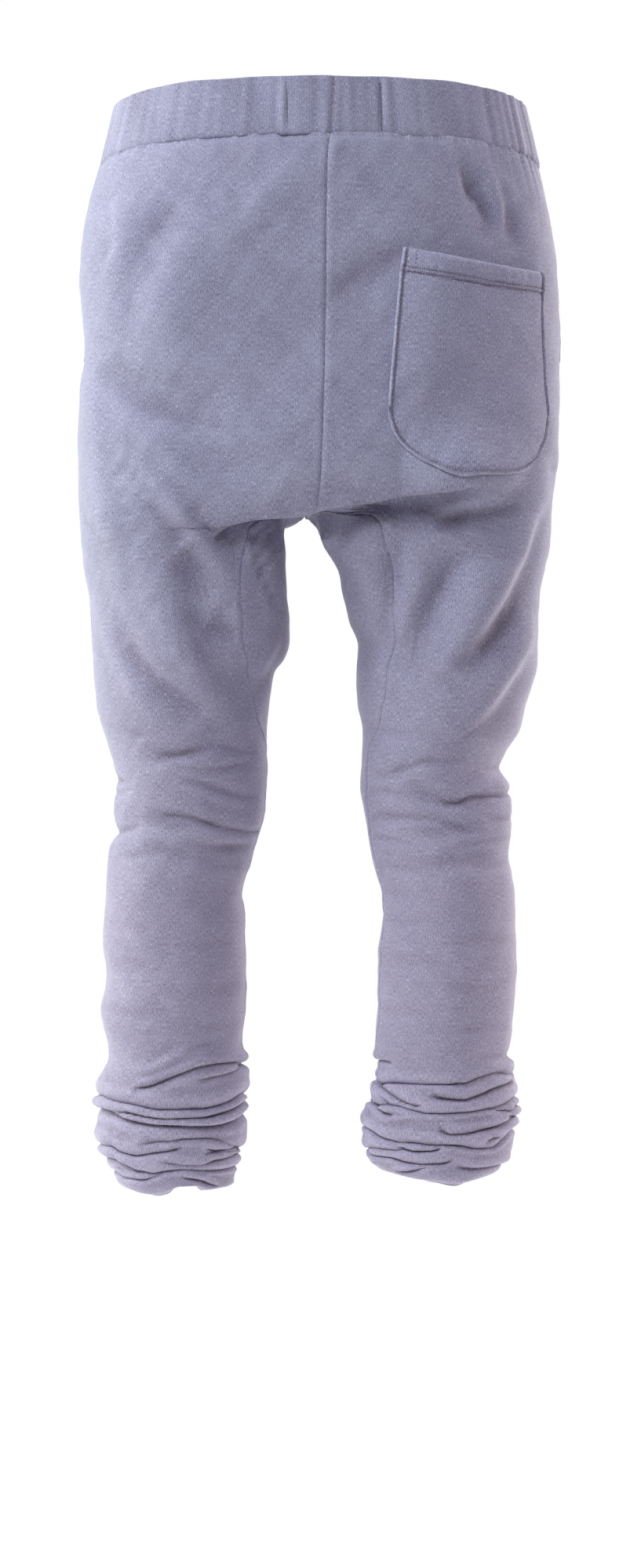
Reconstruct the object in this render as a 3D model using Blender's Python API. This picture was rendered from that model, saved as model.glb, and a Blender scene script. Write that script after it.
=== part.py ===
"""Harem pants in fleece knit, worn: four leg panels, a waistband, a patch pocket and hip pocket mouths.

Metres, +Z up, +Y towards the wearer's back, +X towards the wearer's left.
The origin is the centre of the waist opening, at half the height of the waistband.
"""
from math import pi

import bpy
import numpy as np

# ---- driving sizes -------------------------------------------------------------------------
CLOTH = 0.0018            # thickness of one layer of fleece
BAND_CLOTH = 0.0036       # the waistband is two layers
SEAM_GAP = 0.0003         # between pieces that are sewn edge to edge
SEAM_DRAW = 0.55          # share of the gap that each of two sewn edges gives up
CROTCH_DRAW = 0.7         # seam gaps open by this share of themselves at the crotch point
CROTCH_ROWS = 2.0         # rows above and below the crotch point that open so
WELD = 0.00005            # points of two panels that are nearer than this are one place
LIE_GAP = 0.0010          # between a pocket's corners and the curved panel under it
POCKET_EASE = 0.0016      # the middle of a pocket bags out this much more
STACK_TOP_Z = -0.722      # where the spare leg length starts to pile up
BACK_COLUMNS = 14         # faces across a back panel
FRONT_COLUMNS = 13        # faces across a front panel
FINE = 60                 # points on each stretch of a section before it is spaced evenly
ROUND_REACH = 1.657       # tangent length, in radii, that makes a Hermite curve a quarter ellipse

# ---- waistband: angle 0 is the wearer's left side, 90 the back ---------------------------------
BAND_HALF_WIDTH_TOP = 0.1615
BAND_HALF_WIDTH_SEAM = 0.1725
BAND_BACK_TOP = 0.109
BAND_BACK_SEAM = 0.1135
BAND_FRONT_TOP = -0.103
BAND_FRONT_SEAM = -0.107
BAND_TOP_Z = 0.0215
BAND_SEAM_Z = -0.0245
BAND_FRONT_DROP = 0.010   # the front of the waist sits this much lower
BAND_SIDE_DIP = 0.0010    # the waist seam dips this much at the sides
WAIST_EASE_Z = -0.150     # below this the sections no longer follow the waist seam
BAND_ROUND = 2.35         # superellipse power of the waist and hip sections
BAND_COLUMNS = 52
BAND_LEVELS = (0.0, 0.12, 0.88, 1.0)            # heights of its rings, seam to top edge
BAND_TUCKS = (0.0008, 0.0, 0.0, 0.0010)         # both faces draw in by this at each ring

# ---- half widths seen from behind; outer edge of the wearer's left leg, then the right --------
LEFT_OUTER = {"z": (-0.026, -0.055, -0.085, -0.115, -0.141, -0.172, -0.205, -0.240, -0.268, -0.313,
                    -0.335, -0.368, -0.422, -0.459, -0.482, -0.511, -0.532, -0.546, -0.560, -0.590,
                    -0.635, -0.662, -0.690, -0.722, -0.745, -0.760, -0.768, -0.782, -0.799, -0.810,
                    -0.818, -0.836),
              "x": (0.1722, 0.1800, 0.1850, 0.1878, 0.1848, 0.1838, 0.1868, 0.1888, 0.1888, 0.1870,
                    0.1857, 0.1802, 0.1775, 0.1722, 0.1655, 0.1588, 0.1608, 0.1585, 0.1645, 0.1670,
                    0.1700, 0.1672, 0.1710, 0.1655, 0.1735, 0.1750, 0.1730, 0.1735, 0.1700, 0.1620,
                    0.1595, 0.1480)}
RIGHT_OUTER = {"z": (-0.026, -0.052, -0.085, -0.112, -0.150, -0.200, -0.253, -0.288, -0.327, -0.368,
                     -0.415, -0.449, -0.468, -0.484, -0.497, -0.512, -0.539, -0.564, -0.593, -0.629,
                     -0.665, -0.698, -0.722, -0.729, -0.743, -0.757, -0.766, -0.778, -0.789, -0.803,
                     -0.813, -0.825),
               "x": (-0.1705, -0.1765, -0.1820, -0.1855, -0.1870, -0.1870, -0.1851, -0.1820, -0.1785, -0.1712,
                     -0.1697, -0.1611, -0.1568, -0.1455, -0.1415, -0.1478, -0.1500, -0.1482, -0.1513, -0.1538,
                     -0.1530, -0.1507, -0.1480, -0.1515, -0.1518, -0.1530, -0.1545, -0.1515, -0.1515, -0.1478,
                     -0.1385, -0.1290)}

# ---- inner edges of the legs, from the crotch down ---------------------------------------------
LEFT_INNER = {"z": (-0.3055, -0.311, -0.318, -0.336, -0.366, -0.386, -0.400, -0.413, -0.422, -0.437,
                    -0.460, -0.485, -0.528, -0.550, -0.572, -0.594, -0.616, -0.665, -0.695, -0.714,
                    -0.730, -0.757, -0.784, -0.796, -0.815, -0.825, -0.836),
              "x": (0.0120, 0.0190, 0.0230, 0.0265, 0.0255, 0.0236, 0.0242, 0.0285, 0.0350, 0.0387,
                    0.0407, 0.0422, 0.0424, 0.0486, 0.0547, 0.0612, 0.0590, 0.0584, 0.0592, 0.0610,
                    0.0578, 0.0590, 0.0605, 0.0630, 0.0668, 0.0700, 0.0740)}
RIGHT_INNER = {"z": (-0.3055, -0.311, -0.318, -0.328, -0.345, -0.360, -0.384, -0.404, -0.430, -0.446,
                     -0.468, -0.510, -0.539, -0.561, -0.575, -0.598, -0.621, -0.645, -0.690, -0.718,
                     -0.733, -0.750, -0.762, -0.774, -0.784, -0.797, -0.806, -0.814, -0.825),
               "x": (0.0120, 0.0060, 0.0020, -0.0032, -0.0135, -0.0172, -0.0228, -0.0290, -0.0285, -0.0295,
                     -0.0330, -0.0322, -0.0357, -0.0394, -0.0431, -0.0488, -0.0484, -0.0452, -0.0450, -0.0420,
                     -0.0465, -0.0415, -0.0365, -0.0330, -0.0340, -0.0365, -0.0390, -0.0480, -0.0580)}

# ---- depth of the legs and hips: side seam, back crest and front crest ----------------------------
DEPTH = {"z": (-0.026, -0.090, -0.150, -0.210, -0.260, -0.300, -0.335, -0.370, -0.420, -0.480,
               -0.540, -0.600, -0.660, -0.722, -0.780, -0.836),
         "side": (0.000, 0.002, 0.004, 0.004, 0.003, 0.002, 0.000, -0.002, -0.004, -0.007,
                  -0.010, -0.008, -0.004, -0.002, -0.002, -0.002),
         "back": (0.103, 0.111, 0.116, 0.115, 0.109, 0.103, 0.094, 0.087, 0.079, 0.069,
                  0.057, 0.058, 0.061, 0.056, 0.052, 0.040),
         "front": (-0.098, -0.105, -0.107, -0.106, -0.104, -0.103, -0.101, -0.098, -0.092, -0.086,
                   -0.079, -0.069, -0.061, -0.057, -0.056, -0.046)}

# ---- the rise: where each section ends on the centre seams, from the waist to the crotch point ----
# turn is the angle that a section has swung through when it arrives: 0 crosswise, 90 lengthwise
RISE = {"side_z": (-0.026, -0.080, -0.140, -0.195, -0.238, -0.268, -0.290, -0.305, -0.3165, -0.325),
        "back_x": (-0.0077, -0.0050, -0.0043, -0.0035, -0.0022, -0.0010, 0.0010, 0.0040, 0.0080, 0.0120),
        "front_x": (-0.0040, -0.0020, 0.0010, 0.0060, 0.0105, 0.0120, 0.0120, 0.0120, 0.0120, 0.0120),
        "back_y": (0.1135, 0.1195, 0.1240, 0.1220, 0.1160, 0.1105, 0.1050, 0.0965, 0.0830, 0.0650),
        "back_z": (-0.0245, -0.080, -0.140, -0.195, -0.240, -0.270, -0.289, -0.2995, -0.3040, -0.3055),
        "back_turn": (0, 0, 0, 0, 0, 0, 4, 16, 40, 60),
        "front_y": (-0.1070, -0.1130, -0.1110, -0.1030, -0.0890, -0.0690, -0.0380, 0.0020, 0.0380, 0.0650),
        "front_z": (-0.0345, -0.085, -0.140, -0.190, -0.232, -0.262, -0.284, -0.2970, -0.3030, -0.3055),
        "front_turn": (0, 0, 0, 2, 12, 32, 56, 76, 87, 90),
        "leg_share": (0, 0, 0, 0.05, 0.28, 0.58, 0.85, 0.97, 1.0, 1.0)}

# ---- below the crotch: how far a section climbs to its inner side, and where the inseam crosses it -
LEFT_TURN = {"side_z": (-0.325, -0.3275, -0.331, -0.337, -0.347, -0.360, -0.378, -0.400, -0.424, -0.440,
                        -0.460, -0.484, -0.836),
             "climb": (0.0195, 0.0190, 0.0175, 0.0145, 0.0100, 0.0065, 0.0035, 0.0012, 0, 0, 0, 0, 0),
             "inner_y": (0.065, 0.063, 0.059, 0.051, 0.042, 0.034, 0.024, 0.014, 0.008, 0.003,
                         -0.002, -0.007, -0.002),
             "seam": (180, 152, 133, 128, 126, 124, 122.5, 123.5, 138, 147, 152, 176, 176)}
RIGHT_TURN = {"side_z": LEFT_TURN["side_z"],
              "climb": LEFT_TURN["climb"],
              "inner_y": LEFT_TURN["inner_y"],
              "seam": (180, 146, 122, 117, 119, 122, 125, 128, 133, 134, 140, 154, 170)}

# ---- under the pocket the seat's lower edge is drawn up: centre across and up, reach, and rise ----
DRAWN_AT = (-0.065, -0.308)
DRAWN_REACH = (0.040, 0.032)
DRAWN_RISE = 0.016
DRAWN_FRONT_Y = 0.030     # nothing in front of this is drawn up

# ---- creases of the piled-up hems: height at outer side, back, inner side and front ---------------
LEFT_ROLLS = {"outer": (-0.7290, -0.7600, -0.7685, -0.7990, -0.8095, -0.8230),
              "back": (-0.7385, -0.7595, -0.7700, -0.7945, -0.8040, -0.8165),
              "inner": (-0.7290, -0.7545, -0.7690, -0.7985, -0.8080, -0.8190),
              "front": (-0.7400, -0.7600, -0.7720, -0.7930, -0.8050, -0.8180),
              "depth": (0.0035, 0.0055, 0.0055, 0.0055, 0.0045, 0.0040),
              "bulge": (0.0015, 0.0050, 0.0030, 0.0045, 0.0020, 0.0030, 0.0015),
              "hem": -0.836}
RIGHT_ROLLS = {"outer": (-0.7433, -0.7655, -0.7785, -0.7890, -0.8035, -0.8135),
               "back": (-0.7430, -0.7635, -0.7765, -0.7885, -0.8040, -0.8130),
               "inner": (-0.7330, -0.7615, -0.7740, -0.7850, -0.8040, -0.8125),
               "front": (-0.7430, -0.7620, -0.7770, -0.7895, -0.8030, -0.8135),
               "depth": (0.0040, 0.0055, 0.0045, 0.0060, 0.0045, 0.0035),
               "bulge": (0.0030, 0.0040, 0.0030, 0.0030, 0.0040, 0.0020, 0.0015),
               "hem": -0.825}
ROLL_LIP = 0.0018         # a roll hangs this far over the crease under it
ROLL_STEPS = (0.18, 0.50, 0.82)   # rows between two creases, as shares of the roll
ROLL_NECK = 0.25          # share of a roll, at its top and bottom, that turns in to its creases

# ---- the largest loose folds: start, middle and end (across, up), depth (ridge +) and half width ----
FOLD_WRAP = 1.6           # a fold keeps its full depth until the cloth has turned this far to the side
FOLD_POINTS = 25          # points along a fold's path
FOLD_END = 0.04           # share of the path over which its very ends are flat
FOLD_FADE = 0.6           # below 1, a fold keeps its depth for longer towards its ends
BACK_FOLDS = {
    "seat_edge_left": (0.000, -0.290, 0.040, -0.294, 0.080, -0.306, 0.0040, 0.0150),
    "seat_edge_right": (0.000, -0.289, -0.050, -0.279, -0.104, -0.273, 0.0050, 0.0160),
    "under_edge_left": (0.052, -0.330, 0.074, -0.336, 0.096, -0.352, -0.0035, 0.0160),
    "under_edge_right": (-0.048, -0.312, -0.085, -0.303, -0.120, -0.300, -0.0080, 0.0150),
    "thigh_ridge_left": (0.166, -0.270, 0.150, -0.370, 0.112, -0.470, 0.0060, 0.0200),
    "thigh_trough_left": (0.118, -0.315, 0.100, -0.365, 0.082, -0.430, -0.0070, 0.0160),
    "thigh_ridge_right": (-0.160, -0.300, -0.135, -0.380, -0.085, -0.480, 0.0060, 0.0200),
    "thigh_trough_right": (-0.105, -0.325, -0.090, -0.380, -0.070, -0.440, -0.0060, 0.0160),
    "hip_drape_left": (0.105, -0.070, 0.130, -0.120, 0.152, -0.190, -0.0035, 0.0180),
    "hip_drape_right": (-0.123, -0.060, -0.129, -0.080, -0.134, -0.100, -0.0040, 0.0090),
    "knee_upper_left": (0.076, -0.478, 0.110, -0.488, 0.140, -0.482, -0.0050, 0.0080),
    "knee_mid_left": (0.064, -0.538, 0.100, -0.542, 0.136, -0.534, -0.0050, 0.0080),
    "knee_lower_left": (0.060, -0.560, 0.095, -0.566, 0.140, -0.556, -0.0040, 0.0080),
    "knee_upper_right": (-0.062, -0.506, -0.095, -0.524, -0.132, -0.518, -0.0055, 0.0080),
    "knee_mid_right": (-0.055, -0.540, -0.090, -0.548, -0.130, -0.540, -0.0045, 0.0080),
    "knee_lower_right": (-0.058, -0.565, -0.095, -0.572, -0.138, -0.562, -0.0035, 0.0080)}
FRONT_FOLDS = {
    "lap_left": (0.060, -0.205, 0.085, -0.245, 0.120, -0.265, -0.0060, 0.0160),
    "lap_right": (-0.052, -0.210, -0.080, -0.248, -0.122, -0.270, -0.0060, 0.0160),
    "thigh_front_left": (0.068, -0.350, 0.095, -0.400, 0.128, -0.440, -0.0050, 0.0160),
    "thigh_front_right": (-0.060, -0.350, -0.088, -0.400, -0.124, -0.445, -0.0050, 0.0160),
    "knee_front_left": (0.062, -0.600, 0.100, -0.610, 0.138, -0.600, -0.0040, 0.0100),
    "knee_front_right": (-0.055, -0.595, -0.090, -0.606, -0.130, -0.598, -0.0040, 0.0100)}

# ---- patch pocket, measured on the right back panel: out from the centre seam, down from the waist -
POCKET_TOP_INNER = (0.0580, 0.0840)
POCKET_TOP_OUTER = (0.1780, 0.0930)
POCKET_TOP_SAG = 0.005         # the mouth hangs this much lower in its middle
POCKET_DEPTH_INNER = 0.121     # straight part of the edge nearest the centre seam
POCKET_DEPTH_OUTER = 0.112
POCKET_DROP = 0.053            # the rounded bottom below the straight edges
POCKET_SPREAD = 0.010          # each side edge swings out by this much on its way down
POCKET_ROUND = 2.15
POCKET_COLUMNS = 12
POCKET_ROWS = 14

# ---- hip pocket mouths on the fronts: in from the side seam, down from the waist -----------------
MOUTH_TOP = (0.046, 0.010)
MOUTH_END = (0.006, 0.150)
MOUTH_WIDTH = 0.016
MOUTH_BOW = 0.006
MOUTH_ROWS = 12

# ---- colours ------------------------------------------------------------------------------------
FLEECE = (0.300, 0.290, 0.380, 1.0)
FLEECE_DARK = (0.235, 0.220, 0.290, 1.0)
FLEECE_ROUGHNESS = 0.95


def follow(keys, values, at):
    """Monotone cubic through a table's rows: no overshoot between two sections."""
    keys = np.asarray(keys, float)
    values = np.asarray(values, float)
    if keys[0] > keys[-1]:
        keys, values = keys[::-1], values[::-1]
    step = np.diff(keys)
    rate = np.diff(values) / step
    slope = np.zeros(len(keys))
    same = rate[:-1] * rate[1:] > 0
    weight_a = 2 * step[1:] + step[:-1]
    weight_b = step[1:] + 2 * step[:-1]
    safe_a = np.where(same, rate[:-1], 1.0)
    safe_b = np.where(same, rate[1:], 1.0)
    mean = (weight_a + weight_b) / (weight_a / safe_a + weight_b / safe_b)
    slope[1:-1] = np.where(same, mean, 0.0)
    slope[0], slope[-1] = rate[0], rate[-1]
    at = np.clip(np.asarray(at, float), keys[0], keys[-1])
    i = np.clip(np.searchsorted(keys, at, side="right") - 1, 0, len(step) - 1)
    t = (at - keys[i]) / step[i]
    return ((1 + 2 * t) * (1 - t) ** 2 * values[i] + t * (1 - t) ** 2 * step[i] * slope[i]
            + t * t * (3 - 2 * t) * values[i + 1] + t * t * (t - 1) * step[i] * slope[i + 1])


def quarter(centre, start, end, power=2.0):
    """Quarter of a superellipse from start to end, in plan."""
    angle = np.linspace(0, pi / 2, FINE)[:, None]
    centre, start, end = (np.asarray(p, float) for p in (centre, start, end))
    return (centre + (start - centre) * np.cos(angle) ** (2 / power)
            + (end - centre) * np.sin(angle) ** (2 / power))


def swing(start, end, start_way, end_way):
    """Hermite curve in plan that leaves and arrives in the given directions; a right turn is an ellipse."""
    start, end = np.asarray(start, float), np.asarray(end, float)
    start_way, end_way = np.asarray(start_way, float), np.asarray(end_way, float)
    chord = np.linalg.norm(end - start)
    turned = 1 - float(np.dot(start_way, end_way)) ** 2
    reach = [chord + (ROUND_REACH * abs(float(np.dot(end - start, way))) - chord) * turned
             for way in (start_way, end_way)]
    t = np.linspace(0, 1, FINE)[:, None]
    leave = start_way * reach[0]
    arrive = end_way * reach[1]
    return ((1 + 2 * t) * (1 - t) ** 2 * start + t * (1 - t) ** 2 * leave
            + t * t * (3 - 2 * t) * end + t * t * (t - 1) * arrive)


def spaced(curve, count):
    """The same curve with count + 1 points at even distances."""
    length = np.concatenate(([0], np.cumsum(np.linalg.norm(np.diff(curve, axis=0), axis=1))))
    at = np.linspace(0, length[-1], count + 1)
    return np.stack([np.interp(at, length, curve[:, k]) for k in range(curve.shape[1])], axis=1)


def waist_z(x, y):
    """Height of the waist seam: it dips a little at the sides and more towards the front."""
    across = np.clip(np.asarray(x) / BAND_HALF_WIDTH_SEAM, -1, 1)
    along = np.clip(np.asarray(y) / BAND_BACK_SEAM, -1, 1)
    return BAND_SEAM_Z - BAND_SIDE_DIP * across ** 2 - BAND_FRONT_DROP * (1 - along) / 2


class Half:
    """One leg with its half of the hips; hand is +1 on the wearer's left and -1 on the right."""

    def __init__(self, hand):
        self.hand = hand
        self.outer = LEFT_OUTER if hand > 0 else RIGHT_OUTER
        self.inner = LEFT_INNER if hand > 0 else RIGHT_INNER
        self.turn = LEFT_TURN if hand > 0 else RIGHT_TURN
        self.rolls = LEFT_ROLLS if hand > 0 else RIGHT_ROLLS

    def side(self, z):
        """Side seam in plan, with the depth of the crests at that height."""
        x = float(follow(self.outer["z"], self.outer["x"], z))
        y, back, front = (float(follow(DEPTH["z"], DEPTH[k], z)) for k in ("side", "back", "front"))
        return x, y, back, front

    def rise_row(self, side_z, face, count):
        """A section above the crotch, from the side seam to the centre seam of one face."""
        def read(name):
            return float(follow(RISE["side_z"], RISE[name], side_z))
        x, y, back, front = self.side(side_z)
        crest = back if face == "back" else front
        mid = read(face + "_x")
        end = np.array((mid, read(face + "_y")))
        turn = np.radians(read(face + "_turn"))
        towards = -1.0 if face == "back" else 1.0
        arrive = np.array((-self.hand * np.cos(turn), towards * np.sin(turn)))
        hip = spaced(quarter((mid, y), (x, y), end, BAND_ROUND), count)
        top = np.array(((x + mid) / 2, crest))
        leg = np.vstack((quarter((top[0], y), (x, y), top), swing(top, end, (-self.hand, 0.0), arrive)[1:]))
        share = read("leg_share")
        plan = hip + (spaced(leg, count) - hip) * share
        climb = (x - plan[:, 0]) / (x - mid)
        z = side_z + (read(face + "_z") - side_z) * climb
        top_share = np.clip((side_z - WAIST_EASE_Z) / (RISE["side_z"][0] - WAIST_EASE_Z), 0, 1) ** 2
        level = RISE["side_z"][0] + (read(face + "_z") - RISE["side_z"][0]) * climb
        z += (waist_z(plan[:, 0], plan[:, 1]) - level) * top_share
        return np.column_stack((plan, z))

    def leg_row(self, side_z, face, count):
        """A section below the crotch, from the side seam to the inseam."""
        def read(name):
            return float(follow(self.turn["side_z"], self.turn[name], side_z))
        x, y, back, front = self.side(side_z)
        climb = read("climb")
        inner_x = float(follow(self.inner["z"], self.inner["x"], side_z + climb))
        inner_y = read("inner_y")
        middle = (x + inner_x) / 2
        seam = np.radians(read("seam"))
        angle = np.linspace(pi / 2, seam, FINE)
        lobe = np.column_stack((middle + (inner_x - middle) * -np.cos(angle),
                                inner_y + (back - inner_y) * np.sin(angle)))
        if face == "back":
            curve = np.vstack((quarter((middle, y), (x, y), (middle, back)), lobe[1:]))
        else:
            angle = np.linspace(pi, seam, FINE)
            behind = np.column_stack((middle + (inner_x - middle) * -np.cos(angle),
                                      inner_y + (back - inner_y) * np.sin(angle)))
            curve = np.vstack((quarter((middle, y), (x, y), (middle, front)),
                               quarter((middle, inner_y), (middle, front), (inner_x, inner_y))[1:],
                               behind[1:]))
        plan = spaced(curve, count)
        rise = climb * (x - plan[:, 0]) / (x - inner_x)
        return np.column_stack((plan, side_z + rise))

    def stack_rows(self, face, count):
        """The piled-up hem: rolls that hang over sharp creases, down to the open end."""
        sides = ("outer", "back", "inner", "front")
        heights = [np.full(4, STACK_TOP_Z)]
        heights += [np.array([self.rolls[k][i] for k in sides]) for i in range(len(self.rolls["depth"]))]
        heights += [np.full(4, self.rolls["hem"])]
        depths = (0.0,) + self.rolls["depth"] + (0.0,)
        bulges = self.rolls["bulge"]
        rows = []
        for k in range(len(heights) - 1):
            upper, lower = heights[k], heights[k + 1]
            if k > 0:
                rows.append(self.ring(face, count, upper, -depths[k]))
            for share in ROLL_STEPS:
                swell = bulges[k] * np.sin(pi * share)
                neck = (depths[k] * max(0.0, ROLL_NECK - share)
                        + depths[k + 1] * max(0.0, share - 1 + ROLL_NECK))
                sag = ROLL_LIP * share * share * (k + 2 < len(heights))
                rows.append(self.ring(face, count, upper + (lower - upper) * share - sag, swell - neck))
        rows.append(self.ring(face, count, heights[-1], 0.0))
        return rows

    def ring(self, face, count, heights, swell):
        """A section of the stack: four heights (outer, back, inner, front), moved out by swell."""
        level = float(heights.mean())
        base = self.leg_row(level, face, count)
        x, _, back, front = self.side(level)
        inner_x = float(follow(self.inner["z"], self.inner["x"], level))
        middle = np.array(((x + inner_x) / 2, (back + front) / 2))
        reach = np.array((abs(x - inner_x) / 2, (back - front) / 2))
        unit = (base[:, :2] - middle) / reach
        out = unit / reach
        out /= np.linalg.norm(out, axis=1)[:, None]
        unit /= np.linalg.norm(unit, axis=1)[:, None]
        outward = unit[:, 0] * self.hand
        side = np.where(outward > 0, heights[0], heights[2])
        deep = np.where(unit[:, 1] > 0, heights[1], heights[3])
        height = side * outward ** 2 + deep * unit[:, 1] ** 2
        return np.column_stack((base[:, :2] + out * swell, height))


RISE_ROWS = (-0.026, -0.055, -0.090, -0.125, -0.160, -0.192, -0.218, -0.240, -0.258,
             -0.273, -0.286, -0.298, -0.308, -0.317, -0.325)
LEG_ROWS = (-0.3275, -0.331, -0.336, -0.344, -0.356, -0.372, -0.392, -0.414, -0.436, -0.457,
            -0.476, -0.491, -0.506, -0.522, -0.539, -0.556, -0.575, -0.605, -0.645, -0.685, -0.722)


def panel_grid(half, face):
    """Outer points of one leg panel: rows from waist to hem, columns from side seam to inner edge."""
    count = BACK_COLUMNS if face == "back" else FRONT_COLUMNS
    rows = [half.rise_row(z, face, count) for z in RISE_ROWS]
    rows += [half.leg_row(z, face, count) for z in LEG_ROWS]
    rows += half.stack_rows(face, count)
    return draw_up(np.array(rows))


def draw_up(grid):
    """Lifts the right of the seat's lower edge; it depends on place alone, so seams stay closed."""
    across = (grid[..., 0] - DRAWN_AT[0]) / DRAWN_REACH[0]
    up = (grid[..., 2] - DRAWN_AT[1]) / DRAWN_REACH[1]
    behind = np.clip((grid[..., 1] - DRAWN_FRONT_Y) / DRAWN_FRONT_Y, 0, 1)
    result = grid.copy()
    result[..., 2] += DRAWN_RISE * np.exp(-across ** 2 - up ** 2) * behind * behind * (3 - 2 * behind)
    return result


def share_normals(grids):
    """Normals of all panels as one surface, so walls meet evenly across the seams."""
    total = {}
    keys = {}
    for name, grid in grids.items():
        keys[name] = [[tuple(np.round(p / WELD).astype(int)) for p in row] for row in grid]
        flip = -1.0 if name in ("back_left", "front_right") else 1.0
        for i in range(grid.shape[0] - 1):
            for j in range(grid.shape[1] - 1):
                across = grid[i + 1, j + 1] - grid[i, j]
                other = grid[i + 1, j] - grid[i, j + 1]
                area = np.cross(across, other) * flip
                for a, b in ((i, j), (i + 1, j), (i, j + 1), (i + 1, j + 1)):
                    key = keys[name][a][b]
                    total[key] = total.get(key, np.zeros(3)) + area
    return {name: np.array([[total[k] / np.linalg.norm(total[k]) for k in row] for row in keys[name]])
            for name in grids}


def level_creases(normals):
    """Turns the normals along each crease of the stack level, so the wall folds there evenly."""
    first = len(RISE_ROWS) + len(LEG_ROWS) + len(ROLL_STEPS)
    for row in range(first, len(normals) - 1, len(ROLL_STEPS) + 1):
        normals[row, :, 2] = 0.0
        normals[row] /= np.linalg.norm(normals[row], axis=1)[:, None]
    return normals


def fold_shift(grid, normals, folds, facing):
    """Moves points along their normals for each loose fold on the side that faces +Y or -Y."""
    shift = np.zeros(grid.shape[:2])
    toward = np.clip(normals[..., 1] * facing * FOLD_WRAP, 0, 1)
    t = np.linspace(0, 1, FOLD_POINTS)[:, None]
    for x0, z0, x1, z1, x2, z2, depth, width in folds.values():
        start, middle, end = np.array((x0, z0)), np.array((x1, z1)), np.array((x2, z2))
        path = (1 - t) * (1 - 2 * t) * start + 4 * t * (1 - t) * middle + t * (2 * t - 1) * end
        gap = grid[..., None, :][..., (0, 2)] - path
        distance = np.linalg.norm(gap, axis=-1)
        nearest = distance.argmin(axis=-1)
        fade = np.sin(pi * np.clip(nearest / (FOLD_POINTS - 1), FOLD_END, 1 - FOLD_END)) ** FOLD_FADE
        shift += depth * fade * np.exp(-(distance.min(axis=-1) / width) ** 2) * toward
    return shift


def inset_edges(grid, normals, top_gap):
    """Draws the sewn edges back by half a seam gap, and the waist edge by top_gap."""
    result = grid.copy()
    beyond = (np.arange(len(grid)) - len(RISE_ROWS) + 1) / CROTCH_ROWS
    draw = SEAM_GAP * (SEAM_DRAW + CROTCH_DRAW * np.exp(-beyond ** 2))
    for column, neighbour in ((0, 1), (-1, -2)):
        along = np.gradient(grid[:, column], axis=0)
        away = np.cross(normals[:, column], along)
        away /= np.linalg.norm(away, axis=1)[:, None]
        inward = grid[:, neighbour] - grid[:, column]
        away *= np.sign(np.sum(away * inward, axis=1))[:, None]
        result[:, column] += away * draw[:, None]
    result[0, :, 2] -= top_gap
    return result


def material(name, colour):
    made = bpy.data.materials.new(name)
    made.use_nodes = True
    shader = made.node_tree.nodes["Principled BSDF"]
    shader.inputs["Base Color"].default_value = colour
    shader.inputs["Roughness"].default_value = FLEECE_ROUGHNESS
    shader.inputs["Metallic"].default_value = 0.0
    made.diffuse_color = colour
    return made


def add_object(name, points, faces, colour):
    """A named object from points and faces, shaded smooth, with its own material."""
    mesh = bpy.data.meshes.new(name)
    mesh.from_pydata([tuple(p) for p in points], [], faces)
    mesh.materials.append(material(name, colour))
    mesh.shade_smooth()
    thing = bpy.data.objects.new(name, mesh)
    bpy.context.scene.collection.objects.link(thing)
    return thing


def wall(name, outer, inner, colour, closed=False):
    """A closed wall between an outer and an inner grid; closed joins the last column to the first.

    Each cell is split along its shorter diagonal, the same one on both sides of the cloth.
    """
    rows, columns = outer.shape[:2]
    points = np.vstack((outer.reshape(-1, 3), inner.reshape(-1, 3)))
    half = rows * columns

    def at(i, j, layer):
        return layer * half + i * columns + (j % columns)

    faces = []
    last = columns if closed else columns - 1
    for i in range(rows - 1):
        for j in range(last):
            corners = ((i, j), (i, j + 1), (i + 1, j + 1), (i + 1, j))
            a, b, c, d = (outer[row, column % columns] for row, column in corners)
            if np.linalg.norm(a - c) > np.linalg.norm(b - d):
                corners = corners[1:] + corners[:1]
            for triangle in ((corners[0], corners[1], corners[2]), (corners[0], corners[2], corners[3])):
                faces.append([at(row, column, 0) for row, column in triangle])
                faces.append([at(row, column, 1) for row, column in triangle[::-1]])
    for j in range(last):
        faces.append((at(0, j, 0), at(0, j, 1), at(0, j + 1, 1), at(0, j + 1, 0)))
        end = rows - 1
        faces.append((at(end, j, 0), at(end, j + 1, 0), at(end, j + 1, 1), at(end, j, 1)))
    if not closed:
        for i in range(rows - 1):
            faces.append((at(i, 0, 0), at(i + 1, 0, 0), at(i + 1, 0, 1), at(i, 0, 1)))
            end = columns - 1
            faces.append((at(i, end, 0), at(i, end, 1), at(i + 1, end, 1), at(i + 1, end, 0)))
    first = outer[1, 1] - outer[0, 0]
    second = outer[1, 0] - outer[0, 1]
    if np.dot(np.cross(first, second), outer[0, 0] - inner[0, 0]) < 0:
        faces = [face[::-1] for face in faces]
    return add_object(name, points, faces, colour)


def build_panels():
    """The four leg panels; returns their outer grids and normals for the pockets."""
    grids = {}
    for side, hand in (("left", 1), ("right", -1)):
        half = Half(hand)
        for face in ("back", "front"):
            grids[face + "_" + side] = panel_grid(half, face)
    normals = share_normals(grids)
    for name, grid in grids.items():
        shift = (fold_shift(grid, normals[name], BACK_FOLDS, 1.0)
                 + fold_shift(grid, normals[name], FRONT_FOLDS, -1.0))
        grids[name] = grid + normals[name] * shift[..., None]
    normals = {name: level_creases(field) for name, field in share_normals(grids).items()}
    for name in grids:
        outer = inset_edges(grids[name], normals[name], SEAM_GAP)
        wall(name, outer, outer - normals[name] * CLOTH, FLEECE)
    return grids, normals


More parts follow.
